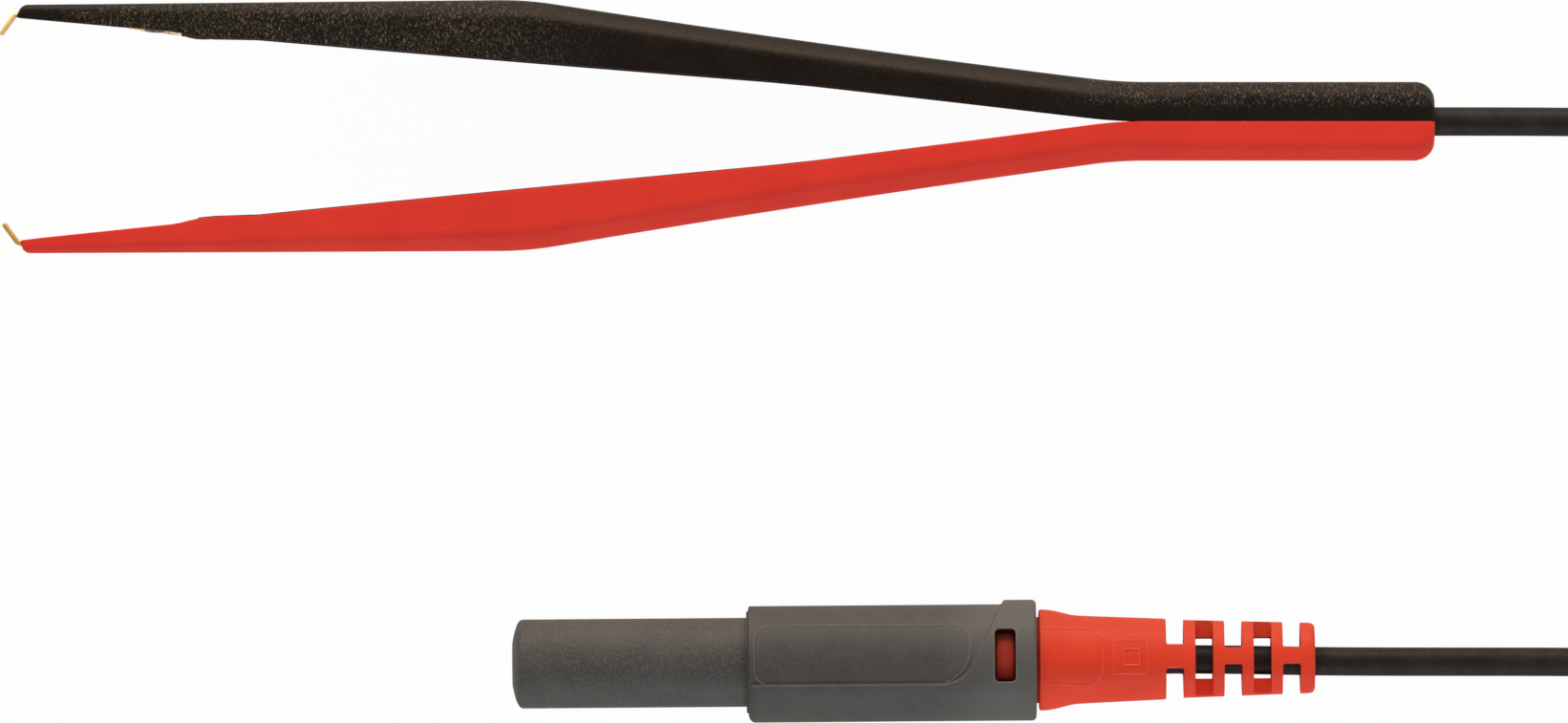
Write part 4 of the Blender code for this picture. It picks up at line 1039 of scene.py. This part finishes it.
def build_plug(finishes):
    """Every piece of the plug that is modelled here."""
    grey = finishes["grey_crest_painted_highlight"], "grey_plastic"
    red = finishes["red_crest_painted_highlight"], "plug_red"
    label = rounded_box_outline(LABEL_LOW, LABEL_HIGH, LABEL_CORNERS, 10)
    window = window_outline(RIM_MARGIN, RIM_CORNER)
    lines = [
        ("label_frame", dense(label), lambda x: BODY_RADIUS - RECESS_DEPTH, LABEL_RISE, *grey),
        ("window_rim", dense(window), lambda x: BODY_RADIUS, RIM_RISE, *grey),
        ("grip_panel", dense(GRIP_PANEL, 0.3), insert_radius, GRIP_RISE, *red),
    ]
    for name, (size, along, across) in SQUARES.items():
        square = rounded_box_outline((along - size / 2, across - size / 2),
                                     (along + size / 2, across + size / 2), SQUARE_CORNER, 2)
        lines.append((name, dense(square, 0.3), insert_radius, GRIP_RISE, *red))
    return [build_sleeve(finishes["sleeve"]), build_grip_body(finishes["grip"]),
            build_insert(finishes["plug_red"]), build_spring(finishes["steel"]),
            *(raised_line(*line) for line in lines),
            build_lug("lug_near", False, finishes["lug"]), build_lug("lug_far", True, finishes["lug"])]


# Cable

def smooth_line(points, step):
    """Points about a step apart on a smooth curve through the given ones."""
    knots = [np.array(point, float) for point in points]
    knots = [2 * knots[0] - knots[1]] + knots + [2 * knots[-1] - knots[-2]]
    fine = []
    for index in range(1, len(knots) - 2):
        a, b, c, d = knots[index - 1:index + 3]
        for share in np.linspace(0, 1, 20, endpoint=False):
            fine.append(b + 0.5 * share * (c - a + share * (2 * a - 5 * b + 4 * c - d
                        + share * (3 * (b - c) + d - a))))
    fine = np.array(fine + [knots[-2]])
    lengths = np.insert(np.cumsum(np.linalg.norm(np.diff(fine, axis=0), axis=1)), 0, 0.0)
    places = np.linspace(0, lengths[-1], int(lengths[-1] / step) + 2)
    return np.column_stack([np.interp(places, lengths, axis) for axis in fine.T]).tolist()


def route_points(offsets, origin, height):
    """Points of a stretch of the route, which comes down to the table from a height."""
    lying = CABLE_DIAMETER / 2 + CABLE_LIFT
    return [(origin[0] + x, origin[1] + y, height + (lying - height) * drop) for x, y, drop in offsets]


def coil_line():
    """The coil's turns: a spiral inward on the table, and one outward on top of it."""
    degrees, radii, heights = np.array(COIL_KNOTS, float).T
    places = np.arange(degrees[0], degrees[-1] - 0.1, -TURN_STEP)
    reach = np.interp(-places, -degrees, radii)
    x = COIL_CENTRE[0] + reach * np.cos(np.radians(places))
    y = COIL_CENTRE[1] + reach * np.sin(np.radians(places))
    return list(zip(x, y, np.interp(-places, -degrees, heights)))


def build_cable(finish):
    """The whole cable, as one curve from inside the handle to its end inside the plug."""
    end = tuple(PLUG_MATRIX @ Vector((CABLE_STOP * MM, 0, 0)) / MM)
    to_coil = smooth_line(route_points(ROUTE_FROM_HANDLE, (REAR_X, SEAM_Y), MID_Z), ROUTE_STEP)
    to_plug = smooth_line(route_points(ROUTE_FROM_COIL, COIL_CENTRE, MID_Z)
                          + route_points(ROUTE_FROM_PLUG, end, BODY_RADIUS) + [end], ROUTE_STEP)
    line = to_coil + coil_line() + to_plug
    curve = bpy.data.curves.new("cable", "CURVE")
    curve.dimensions = "3D"
    curve.bevel_depth = CABLE_DIAMETER / 2 * MM
    curve.bevel_resolution = 8
    curve.use_fill_caps = True
    spline = curve.splines.new("POLY")
    spline.points.add(len(line) - 1)
    for knot, point in zip(spline.points, line):
        knot.co = (*(Vector(point) * MM), 1.0)
    curve.materials.append(finish)
    made = placed("cable", curve)
    settle(made, "handle", "cable_black", "cable_to_coil", "cable_coil", "cable_to_plug")


# Stage

def build_camera():
    """Camera that looks straight down at the middle of the view."""
    camera = bpy.data.cameras.new("camera")
    camera.sensor_width = SENSOR
    camera.lens = SENSOR * VIEW_DISTANCE / VIEW_WIDTH
    camera.clip_start = 0.01
    made = placed("camera", camera)
    made.location = Vector((*VIEW_CENTRE, VIEW_PLANE + VIEW_DISTANCE)) * MM
    bpy.context.scene.camera = made


def build_lamp(name, place, size, power, colour):
    """A rectangular lamp that faces the middle of the view."""
    lamp = bpy.data.lights.new(name, "AREA")
    lamp.shape = "RECTANGLE"
    lamp.size, lamp.size_y = size
    lamp.energy = power
    lamp.color = colour
    made = placed(name, lamp)
    made.location = place
    target = Vector((VIEW_CENTRE[0] * MM, VIEW_CENTRE[1] * MM, 0))
    made.rotation_euler = (target - Vector(place)).to_track_quat("-Z", "Y").to_euler()


def build_floor():
    """A table top a hair below the lead, which looks white to camera and transmission rays."""
    made = Finish("floor", 0.9, specular=0.1)
    made.colour((0.9, 0.9, 0.9, 1))
    rays = made.node("ShaderNodeLightPath")
    seen = made.math("MAXIMUM", rays.outputs["Is Camera Ray"], rays.outputs["Is Transmission Ray"])
    mixed = made.node("ShaderNodeMixShader", made.math("MULTIPLY", seen, FLOOR_WHITENESS),
                      made.shader.outputs[0], made.node("ShaderNodeEmission").outputs[0])
    feed(made.tree, made.tree.nodes["Material Output"].inputs[0], mixed.outputs[0])
    corners = [(-1, -1), (1, -1), (1, 1), (-1, 1)]
    mesh = bpy.data.meshes.new("floor")
    mesh.from_pydata([(x * FLOOR_REACH, y * FLOOR_REACH, 0) for x, y in corners], [], [(0, 1, 2, 3)])
    mesh.materials.append(made.material)
    floor = placed("floor", mesh)
    floor.location.z = -FLOOR_DROP * MM


def build_world():
    """A bright room with a darker ceiling, which the camera sees as one plain light tone."""
    world = bpy.data.worlds.new("world")
    world.use_nodes = True
    tree = world.node_tree
    room = tree.nodes["Background"]
    room.inputs["Color"].default_value = (1.0, 0.985, 0.96, 1)
    ray = new_node(tree, "ShaderNodeTexCoord").outputs["Generated"]
    rise = new_node(tree, "ShaderNodeSeparateXYZ", ray).outputs["Z"]
    light = new_node(tree, "ShaderNodeMapRange", rise, *CEILING_EDGE, WALL_LIGHT, CEILING_LIGHT)
    feed(tree, room.inputs["Strength"], light.outputs[0])
    rays = new_node(tree, "ShaderNodeLightPath")
    plain = new_node(tree, "ShaderNodeBackground")
    mixed = new_node(tree, "ShaderNodeMixShader", rays.outputs["Is Camera Ray"], room.outputs[0],
                     plain.outputs[0])
    feed(tree, tree.nodes["World Output"].inputs[0], mixed.outputs[0])
    bpy.context.scene.world = world


def main():
    bpy.context.scene.view_settings.view_transform = "Standard"
    build_camera()
    build_world()
    build_floor()
    for lamp in LAMPS:
        build_lamp(*lamp)

    finishes = all_finishes()
    for side in SIDES:
        build_moulding(side, finishes[side])
        build_contact_wire(side, finishes[f"{side}_gold"])
        build_splice(side, finishes["joint"], finishes["wire_end"])
    plug_pieces = build_plug(finishes) + [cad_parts[name] for name in KEPT_IN_PLUG]
    build_cable(finishes["cable"])
    build_red_wire(finishes["red_core"])
    for name, finish in KEPT_PIECES.items():
        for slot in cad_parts[name].material_slots:
            slot.material = finishes[finish]


main()
